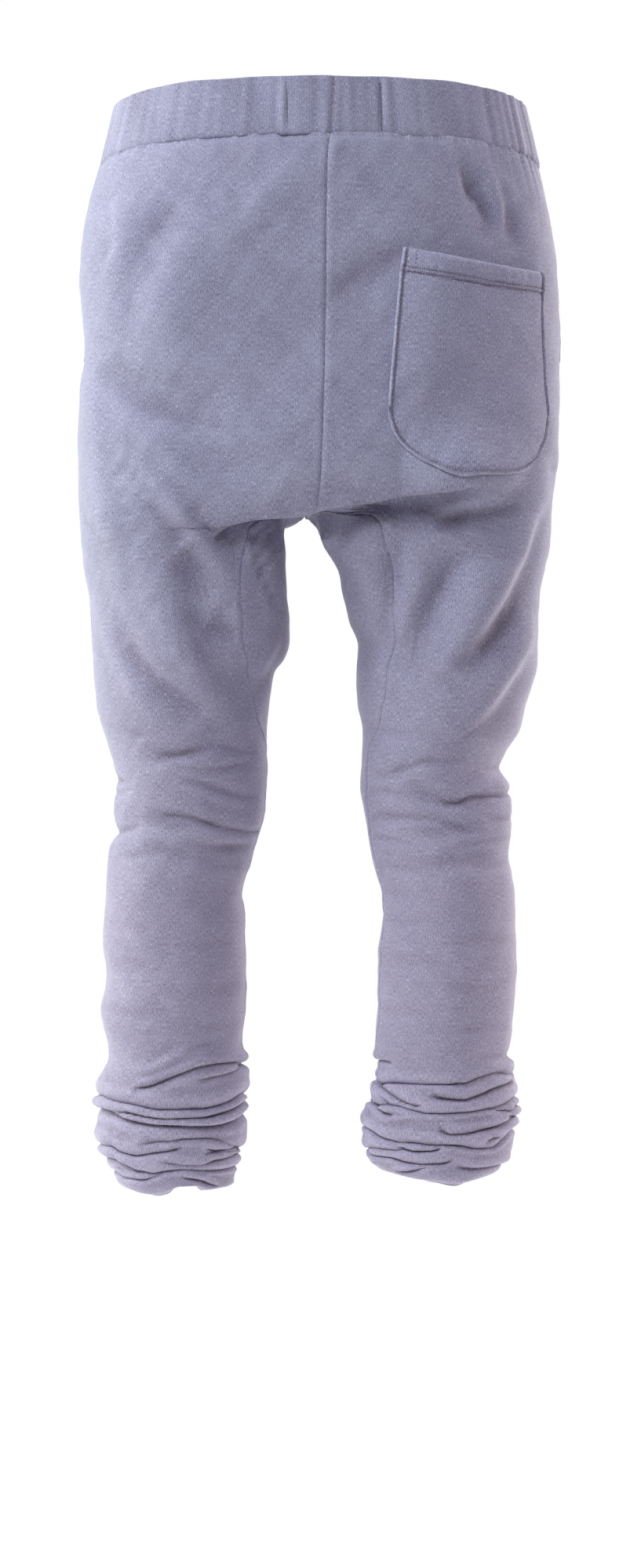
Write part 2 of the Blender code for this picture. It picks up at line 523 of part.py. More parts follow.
def build_waistband():
    """A doubled band: a ring that leans in towards its folded top edge."""
    angle = np.linspace(0, 2 * pi, BAND_COLUMNS, endpoint=False)
    outer_rows, inner_rows = [], []
    for level, tuck in zip(BAND_LEVELS, BAND_TUCKS):
        half_width = BAND_HALF_WIDTH_SEAM + (BAND_HALF_WIDTH_TOP - BAND_HALF_WIDTH_SEAM) * level
        back = BAND_BACK_SEAM + (BAND_BACK_TOP - BAND_BACK_SEAM) * level
        front = BAND_FRONT_SEAM + (BAND_FRONT_TOP - BAND_FRONT_SEAM) * level
        rings = []
        for depth in (tuck, BAND_CLOTH - tuck):
            x = np.sign(np.cos(angle)) * np.abs(np.cos(angle)) ** (2 / BAND_ROUND) * (half_width - depth)
            deep = np.where(np.sin(angle) >= 0, back, -front) - depth
            y = np.sign(np.sin(angle)) * np.abs(np.sin(angle)) ** (2 / BAND_ROUND) * deep
            height = BAND_TOP_Z - BAND_SEAM_Z
            rings.append(np.column_stack((x, y, waist_z(x, y) + height * level)))
        outer_rows.append(rings[0])
        inner_rows.append(rings[1])
    return wall("waistband", np.array(outer_rows), np.array(inner_rows), FLEECE, closed=True)


class Chart:
    """Places on a panel by distance in from one seam and down from the waist."""

    def __init__(self, grid, normals, from_inner):
        self.grid = grid[:, ::-1] if from_inner else grid
        self.normals = normals[:, ::-1] if from_inner else normals
        across = np.linalg.norm(np.diff(self.grid, axis=1), axis=2)
        self.across = np.concatenate((np.zeros((len(grid), 1)), np.cumsum(across, axis=1)), axis=1)
        down = np.linalg.norm(np.diff(self.grid[:, 0], axis=0), axis=1)
        self.down = np.concatenate(([0], np.cumsum(down)))

    def place(self, out, below):
        """Point and normal at the given distances."""
        row = float(np.interp(below, self.down, np.arange(len(self.down))))
        i = min(int(row), len(self.down) - 2)
        share = row - i
        found = []
        for k in (i, i + 1):
            column = float(np.interp(out, self.across[k], np.arange(self.across.shape[1])))
            j = min(int(column), self.across.shape[1] - 2)
            t = column - j
            found.append([field[k, j] * (1 - t) + field[k, j + 1] * t for field in (self.grid, self.normals)])
        point = found[0][0] * (1 - share) + found[1][0] * share
        normal = found[0][1] * (1 - share) + found[1][1] * share
        return point, normal / np.linalg.norm(normal)


def lay_on(name, chart, plan, colour, ease):
    """A piece of cloth on a panel: its flat outline's grid, carried to the panel and moved out."""
    outer, inner = [], []
    for i, row in enumerate(plan):
        placed = [chart.place(out, below) for out, below in row]
        down = np.sin(pi * i / (len(plan) - 1))
        lifts = [LIE_GAP + ease * down * np.sin(pi * j / (len(row) - 1)) for j in range(len(row))]
        inner.append([point + normal * lift for (point, normal), lift in zip(placed, lifts)])
        outer.append([point + normal * (lift + CLOTH) for (point, normal), lift in zip(placed, lifts)])
    return wall(name, np.array(outer), np.array(inner), colour)


def pocket_plan():
    """Flat grid of the patch pocket: straight mouth, straight sides, round bottom."""
    rows = []
    for i in range(POCKET_ROWS + 1):
        level = i / POCKET_ROWS
        row = []
        for j in range(POCKET_COLUMNS + 1):
            share = (1 - np.cos(pi * j / POCKET_COLUMNS)) / 2
            straight = POCKET_DEPTH_INNER + (POCKET_DEPTH_OUTER - POCKET_DEPTH_INNER) * share
            swell = max(0.0, 1 - abs(2 * share - 1) ** POCKET_ROUND) ** (1 / POCKET_ROUND)
            length = straight + POCKET_DROP * swell
            below = level * length
            top_out = POCKET_TOP_INNER[0] + (POCKET_TOP_OUTER[0] - POCKET_TOP_INNER[0]) * share
            top_below = POCKET_TOP_INNER[1] + (POCKET_TOP_OUTER[1] - POCKET_TOP_INNER[1]) * share
            top_below += POCKET_TOP_SAG * np.sin(pi * share) * (1 - level)
            row.append((top_out + POCKET_SPREAD * (2 * share - 1) * level ** 0.8, top_below + below))
        rows.append(row)
    return rows


def mouth_plan():
    """Flat grid of a hip pocket's mouth edge: a narrow strip that slants to the side seam."""
    rows = []
    for i in range(MOUTH_ROWS + 1):
        level = i / MOUTH_ROWS
        out = MOUTH_TOP[0] + (MOUTH_END[0] - MOUTH_TOP[0]) * level + MOUTH_BOW * np.sin(pi * level)
        below = MOUTH_TOP[1] + (MOUTH_END[1] - MOUTH_TOP[1]) * level
        rows.append([(out + MOUTH_WIDTH * share, below) for share in (0.0, 0.5, 1.0)])
    return rows


def build_pockets(grids, normals):
    back = Chart(grids["back_right"], normals["back_right"], from_inner=True)
    lay_on("back_pocket", back, pocket_plan(), FLEECE_DARK, POCKET_EASE)
    for side in ("left", "right"):
        front = Chart(grids["front_" + side], normals["front_" + side], from_inner=False)
        lay_on("hip_pocket_" + side, front, mouth_plan(), FLEECE_DARK, 0.0)


def main():
    for thing in list(bpy.data.objects):
        bpy.data.objects.remove(thing)
    grids, normals = build_panels()
    build_waistband()
    build_pockets(grids, normals)


main()
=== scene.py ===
# %% [markdown]
# # Harem pants in fleece knit
# Sweatpants with a dropped crotch, as they hang when worn: two back panels, two front panels, a doubled
# waistband, one patch pocket and two hip pocket mouths. The legs are cut much too long, so the cloth
# piles up over the ankles.
#
# The plain solids of these pieces are the frame. Each one gets a thin cloth shell here, with its folds,
# its seams and its sewing. The shells could be sculpted by hand or draped by a simulation. They are
# worked out from tables of sizes instead, so that every crease can be read, moved and measured.

# %% Load the frame
from collections import namedtuple
from math import pi, radians

import bpy
import numpy as np
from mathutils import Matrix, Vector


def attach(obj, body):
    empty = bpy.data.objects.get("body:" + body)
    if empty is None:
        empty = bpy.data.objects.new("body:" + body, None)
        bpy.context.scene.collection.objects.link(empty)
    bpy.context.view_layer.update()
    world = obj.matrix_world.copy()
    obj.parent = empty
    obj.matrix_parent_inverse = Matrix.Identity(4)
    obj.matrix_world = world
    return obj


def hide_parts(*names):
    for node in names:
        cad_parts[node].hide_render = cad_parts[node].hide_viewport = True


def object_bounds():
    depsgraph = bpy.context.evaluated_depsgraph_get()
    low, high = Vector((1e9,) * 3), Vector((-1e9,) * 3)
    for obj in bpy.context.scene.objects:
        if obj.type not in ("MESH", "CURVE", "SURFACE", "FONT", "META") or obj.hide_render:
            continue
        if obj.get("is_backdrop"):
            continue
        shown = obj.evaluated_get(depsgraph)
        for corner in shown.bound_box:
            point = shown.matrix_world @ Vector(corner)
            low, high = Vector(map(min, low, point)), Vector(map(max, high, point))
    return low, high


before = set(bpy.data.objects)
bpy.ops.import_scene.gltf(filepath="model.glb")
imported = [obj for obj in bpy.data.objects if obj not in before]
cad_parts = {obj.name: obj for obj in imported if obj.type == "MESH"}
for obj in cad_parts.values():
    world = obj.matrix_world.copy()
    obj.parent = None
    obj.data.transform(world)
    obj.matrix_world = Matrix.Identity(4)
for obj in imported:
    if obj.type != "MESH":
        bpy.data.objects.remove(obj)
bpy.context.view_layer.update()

MM = 0.001

# %% [markdown]
# ## Curves from short tables
# A garment's outline is known at a few heights only. Straight lines between them would show as corners,
# and a common spline swings past its points. A monotone cubic stays between its neighbours, so a bulge
# never appears where the table has none. Round stretches are quarters of a superellipse, whose power sets
# how square a hip section is, and the turn into the crotch is a Hermite curve.

# %% Curve helpers
def smooth_step(t):
    """Goes from 0 to 1 with a slow start and a slow end."""
    return t * t * (3 - 2 * t)


def hermite(t, start, end, start_slope, end_slope):
    """Cubic from one end to the other with the slopes there."""
    return (start * smooth_step(1 - t) + end * smooth_step(t)
            + t * (1 - t) ** 2 * start_slope - t * t * (1 - t) * end_slope)


def follow(keys, values, at):
    """Monotone cubic through a table's rows."""
    keys = np.asarray(keys, float)
    values = np.asarray(values, float)
    if keys[0] > keys[-1]:
        keys, values = keys[::-1], values[::-1]
    step = np.diff(keys)
    rate = np.diff(values) / step
    slope = np.zeros(len(keys))
    same = rate[:-1] * rate[1:] > 0
    weight_a = 2 * step[1:] + step[:-1]
    weight_b = step[1:] + 2 * step[:-1]
    safe_a = np.where(same, rate[:-1], 1.0)
    safe_b = np.where(same, rate[1:], 1.0)
    mean = (weight_a + weight_b) / (weight_a / safe_a + weight_b / safe_b)
    slope[1:-1] = np.where(same, mean, 0.0)
    slope[0], slope[-1] = rate[0], rate[-1]
    at = np.clip(np.asarray(at, float), keys[0], keys[-1])
    i = np.clip(np.searchsorted(keys, at, side="right") - 1, 0, len(step) - 1)
    slope = slope[i] * step[i], slope[i + 1] * step[i]
    return hermite((at - keys[i]) / step[i], values[i], values[i + 1], *slope)


def run_length(curve):
    """Distance along a curve at each of its points."""
    return np.concatenate(([0], np.cumsum(np.linalg.norm(np.diff(curve, axis=0), axis=1))))


def bell(distance, width):
    """A smooth bump: 1 in its middle and 0.37 at its width."""
    return np.exp(-(distance / width) ** 2)


print("halfway between 2 and 4:", float(follow((0, 1, 2), (0, 2, 4), 1.5)))

# %% Round stretches
FINE = 150           # points on each stretch of a section before it is spaced out
ROUND_REACH = 1.657  # tangent length, in radii, that makes a Hermite curve a quarter ellipse


def quarter(centre, start, end, power=2.0):
    """Quarter of a superellipse from start to end, in plan."""
    angle = np.linspace(0, pi / 2, FINE)[:, None]
    centre, start, end = (np.asarray(p, float) for p in (centre, start, end))
    return (centre + (start - centre) * np.cos(angle) ** (2 / power)
            + (end - centre) * np.sin(angle) ** (2 / power))


def swing(start, end, start_way, end_way):
    """Hermite curve that leaves and arrives in the given directions; a right turn is an ellipse."""
    start, end, start_way, end_way = (np.asarray(p, float) for p in (start, end, start_way, end_way))
    chord = np.linalg.norm(end - start)
    turned = 1 - float(np.dot(start_way, end_way)) ** 2
    reach = [chord + (ROUND_REACH * abs(float(np.dot(end - start, way))) - chord) * turned
             for way in (start_way, end_way)]
    return hermite(np.linspace(0, 1, FINE)[:, None], start, end, start_way * reach[0], end_way * reach[1])


print("a quarter turn has", len(quarter((0, 0), (1, 0), (0, 1))), "points")

# %% [markdown]
# ## The outline of the garment
# These are the same sizes that the solids were built from: half widths seen from behind, the depth of the
# crests, and the path of the centre seams down to the crotch point. Heights are measured on the side seam.
# With them the shells lie on their solids, and only the finer folds differ. The long tables are written in
# millimetres, degrees and plain shares.

# %% Sizes of the waistband
BAND_ROUND = 2.35
BAND_HALF_WIDTH = {"seam": 0.1725, "top": 0.1615}
BAND_BACK = {"seam": 0.1135, "top": 0.109}
BAND_FRONT = {"seam": -0.107, "top": -0.103}
BAND_TOP_Z = 0.0215
BAND_SEAM_Z = -0.0245
BAND_HIGH = BAND_TOP_Z - BAND_SEAM_Z
BAND_FRONT_DROP = 0.010
BAND_SIDE_DIP = 0.0010
print("the waistband is", round(BAND_HIGH / MM, 1), "mm high")

# %% Outlines of the legs
def numbers(text, unit=1.0):
    """The numbers of a text, times a unit."""
    return np.array(text.split(), float) * unit


LEFT_OUTER = {
    "z": numbers("-26 -55 -85 -115 -141 -172 -205 -240 -268 -313 -335 -368 -422 -459 -482 -511 -532 -546 \
        -560 -590 -635 -662 -690 -722 -745 -760 -768 -782 -799 -810 -818 -836", MM),
    "x": numbers("172.2 180 185 187.8 184.8 183.8 186.8 188.8 188.8 187 185.7 180.2 177.5 172.2 165.5 \
        158.8 160.8 158.5 164.5 167 170 167.2 171 165.5 173.5 175 173 173.5 170 162 159.5 148", MM)}
RIGHT_OUTER = {
    "z": numbers("-26 -52 -85 -112 -150 -200 -253 -288 -327 -368 -415 -449 -468 -484 -497 -512 -539 -564 \
        -593 -629 -665 -698 -722 -729 -743 -757 -766 -778 -789 -803 -813 -825", MM),
    "x": numbers("-170.5 -176.5 -182 -185.5 -187 -187 -185.1 -182 -178.5 -171.2 -169.7 -161.1 -156.8 \
        -145.5 -141.5 -147.8 -150 -148.2 -151.3 -153.8 -153 -150.7 -148 -151.5 -151.8 -153 -154.5 -151.5 \
        -151.5 -147.8 -138.5 -129", MM)}
LEFT_INNER = {
    "z": numbers("-305.5 -308.5 -318 -336 -366 -386 -400 -413 -422 -437 -460 -485 -528 -550 -572 -594 -616 \
        -665 -695 -714 -730 -757 -784 -796 -815 -825 -836", MM),
    "x": numbers("12 23.5 26.2 26.5 25.5 23.6 24.2 28.5 35 38.7 40.7 42.2 42.4 48.6 54.7 61.2 59 58.4 59.2 \
        61 57.8 59 60.5 63 66.8 70 74", MM)}
RIGHT_INNER = {
    "z": numbers("-305.5 -311 -318 -328 -345 -360 -384 -404 -430 -446 -468 -510 -539 -561 -575 -598 -621 \
        -645 -690 -718 -733 -750 -762 -774 -784 -797 -806 -814 -825", MM),
    "x": numbers("12 6 2 -3.2 -13.5 -17.2 -22.8 -29 -28.5 -29.5 -33 -32.2 -35.7 -39.4 -43.1 -48.8 -48.4 \
        -45.2 -45 -42 -46.5 -41.5 -36.5 -33 -34 -36.5 -39 -48 -58", MM)}
HEM_Z = {"left": -0.836, "right": -0.825}
print("outlines:", len(LEFT_OUTER["z"]) + len(RIGHT_OUTER["z"]), "widths outside,",
      len(LEFT_INNER["z"]) + len(RIGHT_INNER["z"]), "inside")

# %% Depths and turns
DEPTH = {
    "z": numbers("-26 -90 -150 -210 -260 -300 -335 -370 -420 -480 -540 -600 -660 -722 -780 -836", MM),
    "side": numbers("0 2 4 4 3 2 0 -2 -4 -7 -10 -8 -4 -2 -2 -2", MM),
    "back": numbers("103 111 116 115 109 103 94 87 79 69 57 58 61 56 52 40", MM),
    "front": numbers("-98 -105 -107 -106 -104 -103 -101 -98 -92 -86 -79 -69 -61 -57 -56 -46", MM)}
RISE = {
    "side_z": numbers("-26 -80 -140 -195 -238 -268 -290 -305 -316.5 -325", MM),
    "back_x": numbers("-7.7 -5 -4.3 -3.5 -2.2 -1 1 4 8 12", MM),
    "front_x": numbers("-4 -2 1 6 10.5 12 12 12 12 12", MM),
    "back_y": numbers("113.5 119.5 124 122 116 110.5 105 96.5 83 65", MM),
    "back_z": numbers("-24.5 -80 -140 -195 -240 -270 -289 -299.5 -304 -305.5", MM),
    "back_turn": numbers("0 0 0 0 0 0 4 16 40 60"),
    "front_y": numbers("-107 -113 -111 -103 -89 -69 -38 2 38 65", MM),
    "front_z": numbers("-34.5 -85 -140 -190 -232 -262 -284 -297 -303 -305.5", MM),
    "front_turn": numbers("0 0 0 2 12 32 56 76 87 90"),
    "leg_share": numbers("0 0 0 0.05 0.28 0.58 0.85 0.97 1 1")}
LEFT_TURN = {
    "side_z": numbers("-325 -327.5 -331 -337 -347 -360 -378 -400 -424 -440 -460 -484 -836", MM),
    "climb": numbers("19.5 19 17.5 14.5 10 6.5 3.5 1.2 0 0 0 0 0", MM),
    "inner_y": numbers("65 63 59 51 42 34 24 14 8 3 -2 -7 -2", MM),
    "seam": numbers("180 152 133 128 126 124 122.5 123.5 138 147 152 176 176")}
RIGHT_TURN = dict(LEFT_TURN, seam=numbers("180 146 122 117 119 122 125 128 133 134 140 154 170"))
WAIST_EASE_Z = -0.150
print("depths at", len(DEPTH["z"]), "heights, the rise at", len(RISE["side_z"]))

# %% [markdown]
# ## Sections of one leg
# Above the crotch a section runs from the side seam to a centre seam, and below it to the inseam. Each
# section is a run of points in plan with a height for each. Two things matter for the mesh. Points sit
# close together beside the seams, because a seam is a groove only a millimetre wide. And both panels that
# meet at a seam get the very same points there, so that no light shows through.

# %% Spacing of points
SEAM_PLACES = np.array((0.0, 0.6, 1.2, 1.9, 2.8, 4.0, 5.6)) * MM   # columns beside each seam
KEPT_COLUMNS = 0.35              # the share of the columns that take no part in the leap to the inseam


def spaced(curve, columns, reach=None):
    """The curve's points at the seam places of both ends and between them. The outer columns are spaced for
    the length reach, so that they run straight on where the panel's inner edge leaps to the inseam."""
    length = run_length(curve)
    reach = reach or length[-1]
    share = np.linspace(0, 1, columns)
    ease = np.clip((share - KEPT_COLUMNS) / (1 - KEPT_COLUMNS), 0, 1)
    span = reach + (length[-1] - reach) * smooth_step(ease)
    even = SEAM_PLACES[-1] + (span - 2 * SEAM_PLACES[-1]) * share
    at = np.concatenate((SEAM_PLACES[:-1], even, length[-1] - SEAM_PLACES[-2::-1]))
    return np.stack([np.interp(at, length, curve[:, k]) for k in range(2)], axis=1)


print("columns beside a seam:", (SEAM_PLACES / MM).round(1).tolist(), "mm")

# %% Leg sections
CREST_SETTLES = 0.036            # the crest moves out with the inseam over this much height


def waist_z(x, y):
    """Height of the waist seam: it dips a little at the sides and more towards the front."""
    across = np.clip(x / BAND_HALF_WIDTH["seam"], -1, 1)
    along = np.clip(y / BAND_BACK["seam"], -1, 1)
    return BAND_SEAM_Z - BAND_SIDE_DIP * across ** 2 - BAND_FRONT_DROP * (1 - along) / 2


class Leg:
    """One leg with its half of the hips; hand is +1 on the wearer's left and -1 on the right."""

    def __init__(self, side):
        self.hand = 1 if side == "left" else -1
        self.outer, self.inner, self.turn = ((LEFT_OUTER, LEFT_INNER, LEFT_TURN) if self.hand > 0
                                             else (RIGHT_OUTER, RIGHT_INNER, RIGHT_TURN))

    def side(self, z):
        """Side seam in plan, with the depth of the crests at that height."""
        x = float(follow(self.outer["z"], self.outer["x"], z))
        y, back, front = (float(follow(DEPTH["z"], DEPTH[k], z)) for k in ("side", "back", "front"))
        return x, y, back, front

    def rise_row(self, side_z, face, columns):
        """A section above the crotch, from the side seam to the centre seam of one face."""
        def read(name):
            return float(follow(RISE["side_z"], RISE[name], side_z))
        x, y, back, front = self.side(side_z)
        crest = back if face == "back" else front
        mid = read(face + "_x")
        end = np.array((mid, read(face + "_y")))
        turn = radians(read(face + "_turn"))
        towards = -1.0 if face == "back" else 1.0
        arrive = np.array((-self.hand * np.cos(turn), towards * np.sin(turn)))
        hip = spaced(quarter((mid, y), (x, y), end, BAND_ROUND), columns)
        top = np.array(((x + mid) / 2, crest))
        leg = np.vstack((quarter((top[0], y), (x, y), top), swing(top, end, (-self.hand, 0.0), arrive)[1:]))
        plan = hip + (spaced(leg, columns) - hip) * read("leg_share")
        climb = (x - plan[:, 0]) / (x - mid)
        z = side_z + (read(face + "_z") - side_z) * climb
        top_share = np.clip((side_z - WAIST_EASE_Z) / (RISE["side_z"][0] - WAIST_EASE_Z), 0, 1) ** 2
        level = RISE["side_z"][0] + (read(face + "_z") - RISE["side_z"][0]) * climb
        z += (waist_z(plan[:, 0], plan[:, 1]) - level) * top_share
        return np.column_stack((plan, z))

    def leg_row(self, side_z, face, columns):
        """A section below the crotch, from the side seam to the inseam."""
        def read(name):
            return float(follow(self.turn["side_z"], self.turn[name], side_z))
        x, y, back, front = self.side(side_z)
        climb = read("climb")
        inner_x = float(follow(self.inner["z"], self.inner["x"], side_z + climb))
        inner_y = read("inner_y")
        settle = np.clip((RISE["side_z"][-1] - side_z) / CREST_SETTLES, 0, 1)
        crest_in = RISE["back_x"][-1] + (inner_x - RISE["back_x"][-1]) * smooth_step(settle)
        middle = (x + crest_in) / 2
        seam = radians(read("seam"))

        def lobe(start, end):
            angle = np.linspace(start, end, FINE)
            return np.column_stack((middle + (inner_x - middle) * -np.cos(angle),
                                    inner_y + (back - inner_y) * np.sin(angle)))

        if face == "back":
            outer = quarter((middle, y), (x, y), (middle, back))
            curve = np.vstack((outer, lobe(pi / 2, seam)[1:]))
            whole = np.vstack((outer, lobe(pi / 2, pi)[1:]))
        else:
            whole = np.vstack((quarter((middle, y), (x, y), (middle, front)),
                               quarter((middle, inner_y), (middle, front), (inner_x, inner_y))[1:]))
            curve = np.vstack((whole, lobe(pi, seam)[1:]))
        plan = spaced(curve, columns, run_length(whole)[-1])
        rise = climb * (x - plan[:, 0]) / (x - inner_x)
        return np.column_stack((plan, side_z + rise))


print("a thigh section has", len(Leg("left").leg_row(-0.4, "back", 80)), "points")

# %% Drawn-up edge
DRAWN_AT = (-0.065, -0.308)      # the seat's lower edge is drawn up here, under the pocket
DRAWN_REACH = (0.040, 0.032)
DRAWN_RISE = 0.016
DRAWN_FRONT_Y = 0.030


def draw_up(grid):
    """Lifts the right of the seat's lower edge, by place alone."""
    across = bell(grid[..., 0] - DRAWN_AT[0], DRAWN_REACH[0])
    up = bell(grid[..., 2] - DRAWN_AT[1], DRAWN_REACH[1])
    behind = np.clip((grid[..., 1] - DRAWN_FRONT_Y) / DRAWN_FRONT_Y, 0, 1)
    result = grid.copy()
    result[..., 2] += DRAWN_RISE * across * up * smooth_step(behind)
    return result


print("the seat's edge is drawn up by", DRAWN_RISE / MM, "mm")

# %% [markdown]
# ## Base grids
# A panel is a grid of rows down the leg and columns across it. Rows are 3 mm apart on smooth cloth, 2 mm at
# the knees and about 1 mm in the piled-up hems, where a crease is only 2 or 3 mm wide. Subdividing a coarse
# mesh would be the usual way, but it spends as many faces on the smooth seat as on the creases.

# %% Panel grids
CROTCH_Z = -0.325            # on the side seam, the height of the crotch point's row
STACK_Z = -0.700             # the closely spaced rows start here
EDGE_Z = (-0.292, -0.341)    # the rows are closer where the seat's edge hangs over
ROW_STEPS = {"hip": 3.0 * MM, "seat edge": 1.5 * MM, "crotch": 1.25 * MM, "thigh": 3.0 * MM, "knee": 2.0 * MM,
             "calf": 3.0 * MM, "pile": 1.05 * MM}
KNEE_Z = (-0.450, -0.600)
COLUMNS = {"back": 84, "front": 66}


def row_heights(hem):
    """Heights on the side seam of a leg's rows, and how many of them are above the crotch point."""
    stops = (RISE["side_z"][0], EDGE_Z[0], CROTCH_Z, EDGE_Z[1], KNEE_Z[0], KNEE_Z[1], STACK_Z, hem)
    heights = [np.array(stops[:1])]
    for (start, end), step in zip(zip(stops, stops[1:]), ROW_STEPS.values()):
        count = int(round((start - end) / step))
        heights.append(np.linspace(start, end, count + 1)[1:])
    heights = np.concatenate(heights)
    return heights, int(np.sum(heights > CROTCH_Z - 1e-6))


grids = {}
for side in ("left", "right"):
    leg = Leg(side)
    heights, rises = row_heights(HEM_Z[side])
    for face, columns in COLUMNS.items():
        rows = [leg.rise_row(z, face, columns) for z in heights[:rises]]
        rows += [leg.leg_row(z, face, columns) for z in heights[rises:]]
        grids[face + "_" + side] = draw_up(np.array(rows))
for name, grid in grids.items():
    print(name, grid.shape[0], "rows of", grid.shape[1])

# %% [markdown]
# ## One skin over four panels
# Folds push the cloth along its normal. If each panel used its own normals, a fold would split open where
# it crosses a seam, so the normals along shared seams are averaged: side seams all the way down, centre
# seams above the crotch, inseams below it, and all four panels at the crotch point.

# %% Shared normals
def grid_normals(grid, flip):
    """Outward unit normals of one grid."""
    normal = np.cross(np.gradient(grid, axis=0), np.gradient(grid, axis=1)) * flip
    return normal / np.maximum(np.linalg.norm(normal, axis=2), 1e-12)[..., None]


def join_edges(fields, *edges):
    """Gives several panel edges the mean of their values; an edge is (panel, rows, column)."""
    mean = sum(fields[name][rows, column] for name, rows, column in edges)
    if mean.ndim > 1:
        mean = mean / np.linalg.norm(mean, axis=-1)[..., None]
    for name, rows, column in edges:
        fields[name][rows, column] = mean


def skin_normals(surfaces):
    """Normals of the four panels as one surface."""
    fields = {}
    for name, grid in surfaces.items():
        fields[name] = grid_normals(grid, 1.0 if name in ("back_left", "front_right") else -1.0)
    above, crotch, below = slice(0, rises - 1), slice(rises - 1, rises), slice(rises, None)
    join_edges(fields, ("back_left", above, -1), ("back_right", above, -1))
    join_edges(fields, ("front_left", above, -1), ("front_right", above, -1))
    join_edges(fields, *[(name, crotch, -1) for name in surfaces])
    for side in ("left", "right"):
        join_edges(fields, ("back_" + side, slice(None), 0), ("front_" + side, slice(None), 0))
        join_edges(fields, ("back_" + side, below, -1), ("front_" + side, below, -1))
    return fields


normals = skin_normals(grids)
for name in ("back_left", "back_right", "front_left", "front_right"):
    outward = np.sign(normals[name][30, 40, 1]) == (1 if "back" in name else -1)
    print(name, "normals point out:", bool(outward))

# %% [markdown]
# ## Large folds
# The broad folds of the seat and thighs are the ones that the solids have too: a smooth path through
# three points, and a height that falls off as a bell curve on either side. A fold belongs to the back or
# to the front of the garment and fades out where the cloth turns to the side.

# %% Broad folds of back and front
def table(kind, text):
    """Rows of numbers: the ones that the kind names, and then the points of a path (across, up)."""
    named = len(kind._fields) - 1
    rows = [numbers(line) for line in text.splitlines() if line[:1] not in ("", "#")]
    return [kind(*row[:named], row[named:].reshape(-1, 2)) for row in rows]


# millimetres; the height of a trough is negative, and the path has a start, a middle and an end
Fold = namedtuple("Fold", "height width path")
BACK_FOLDS = table(Fold, """
# the seat's lower edge
4 15  0 -290 40 -294 80 -306
5 16  0 -289 -50 -279 -104 -273
-3.5 16  52 -330 74 -336 96 -352
-8 15  -48 -312 -85 -303 -120 -300
# thighs
6 20  166 -270 150 -370 112 -470
-7 16  118 -315 100 -365 82 -430
6 20  -160 -300 -135 -380 -85 -480
-6 16  -105 -325 -90 -380 -70 -440
# hips
-3.5 18  105 -70 130 -120 152 -190
-4 9  -123 -60 -129 -80 -134 -100
# knees
-5 8  76 -478 110 -488 140 -482
-5 8  64 -538 100 -542 136 -534
-4 8  60 -560 95 -566 140 -556
-5.5 8  -62 -506 -95 -524 -132 -518
-4.5 8  -55 -540 -90 -548 -130 -540
-3.5 8  -58 -565 -95 -572 -138 -562""")
FRONT_FOLDS = table(Fold, """
# lap
-6 16  60 -205 85 -245 120 -265
-6 16  -52 -210 -80 -248 -122 -270
# thighs
-5 16  68 -350 95 -400 128 -440
-5 16  -60 -350 -88 -400 -124 -445
# knees
-4 10  62 -600 100 -610 138 -600
-4 10  -55 -595 -90 -606 -130 -598""")
print(len(BACK_FOLDS), "broad folds behind,", len(FRONT_FOLDS), "in front")

# %% Relief of the broad folds
FOLD_WRAP = 1.6      # a fold keeps its full height until the cloth has turned this far to the side
FOLD_POINTS = 41
FOLD_END = 0.04
FOLD_FADE = 0.6
FOLD_REACH = 3       # a fold is worked out as far as this many half widths from its path


def broad_folds(grid, normal, folds, facing):
    """Height of the broad folds at each point, for the side that faces +Y or -Y."""
    height = np.zeros(grid.shape[:2])
    toward = np.clip(normal[..., 1] * facing * FOLD_WRAP, 0, 1)
    t = np.linspace(0, 1, FOLD_POINTS)[:, None]
    for fold in folds:
        start, middle, end = fold.path * MM
        width = fold.width * MM
        path = (1 - t) * (1 - 2 * t) * start + 4 * t * (1 - t) * middle + t * (2 * t - 1) * end
        centre = (start[1] + end[1]) / 2
        reach = abs(start[1] - end[1]) / 2 + FOLD_REACH * width + abs(middle[1] - centre)
        near = np.abs(grid[..., 2] - centre) < reach
        distance = np.linalg.norm(grid[near][:, None, (0, 2)] - path, axis=-1)
        nearest = distance.argmin(axis=-1) / (FOLD_POINTS - 1)
        fade = np.sin(pi * np.clip(nearest, FOLD_END, 1 - FOLD_END)) ** FOLD_FADE
        height[near] += fold.height * MM * fade * bell(distance.min(axis=-1), width) * toward[near]
    return height


relief = {}
for name, grid in grids.items():
    relief[name] = (broad_folds(grid, normals[name], BACK_FOLDS, 1.0)
                    + broad_folds(grid, normals[name], FRONT_FOLDS, -1.0))
    print(name, "broad relief", round(float(np.ptp(relief[name])) / MM, 1), "mm")
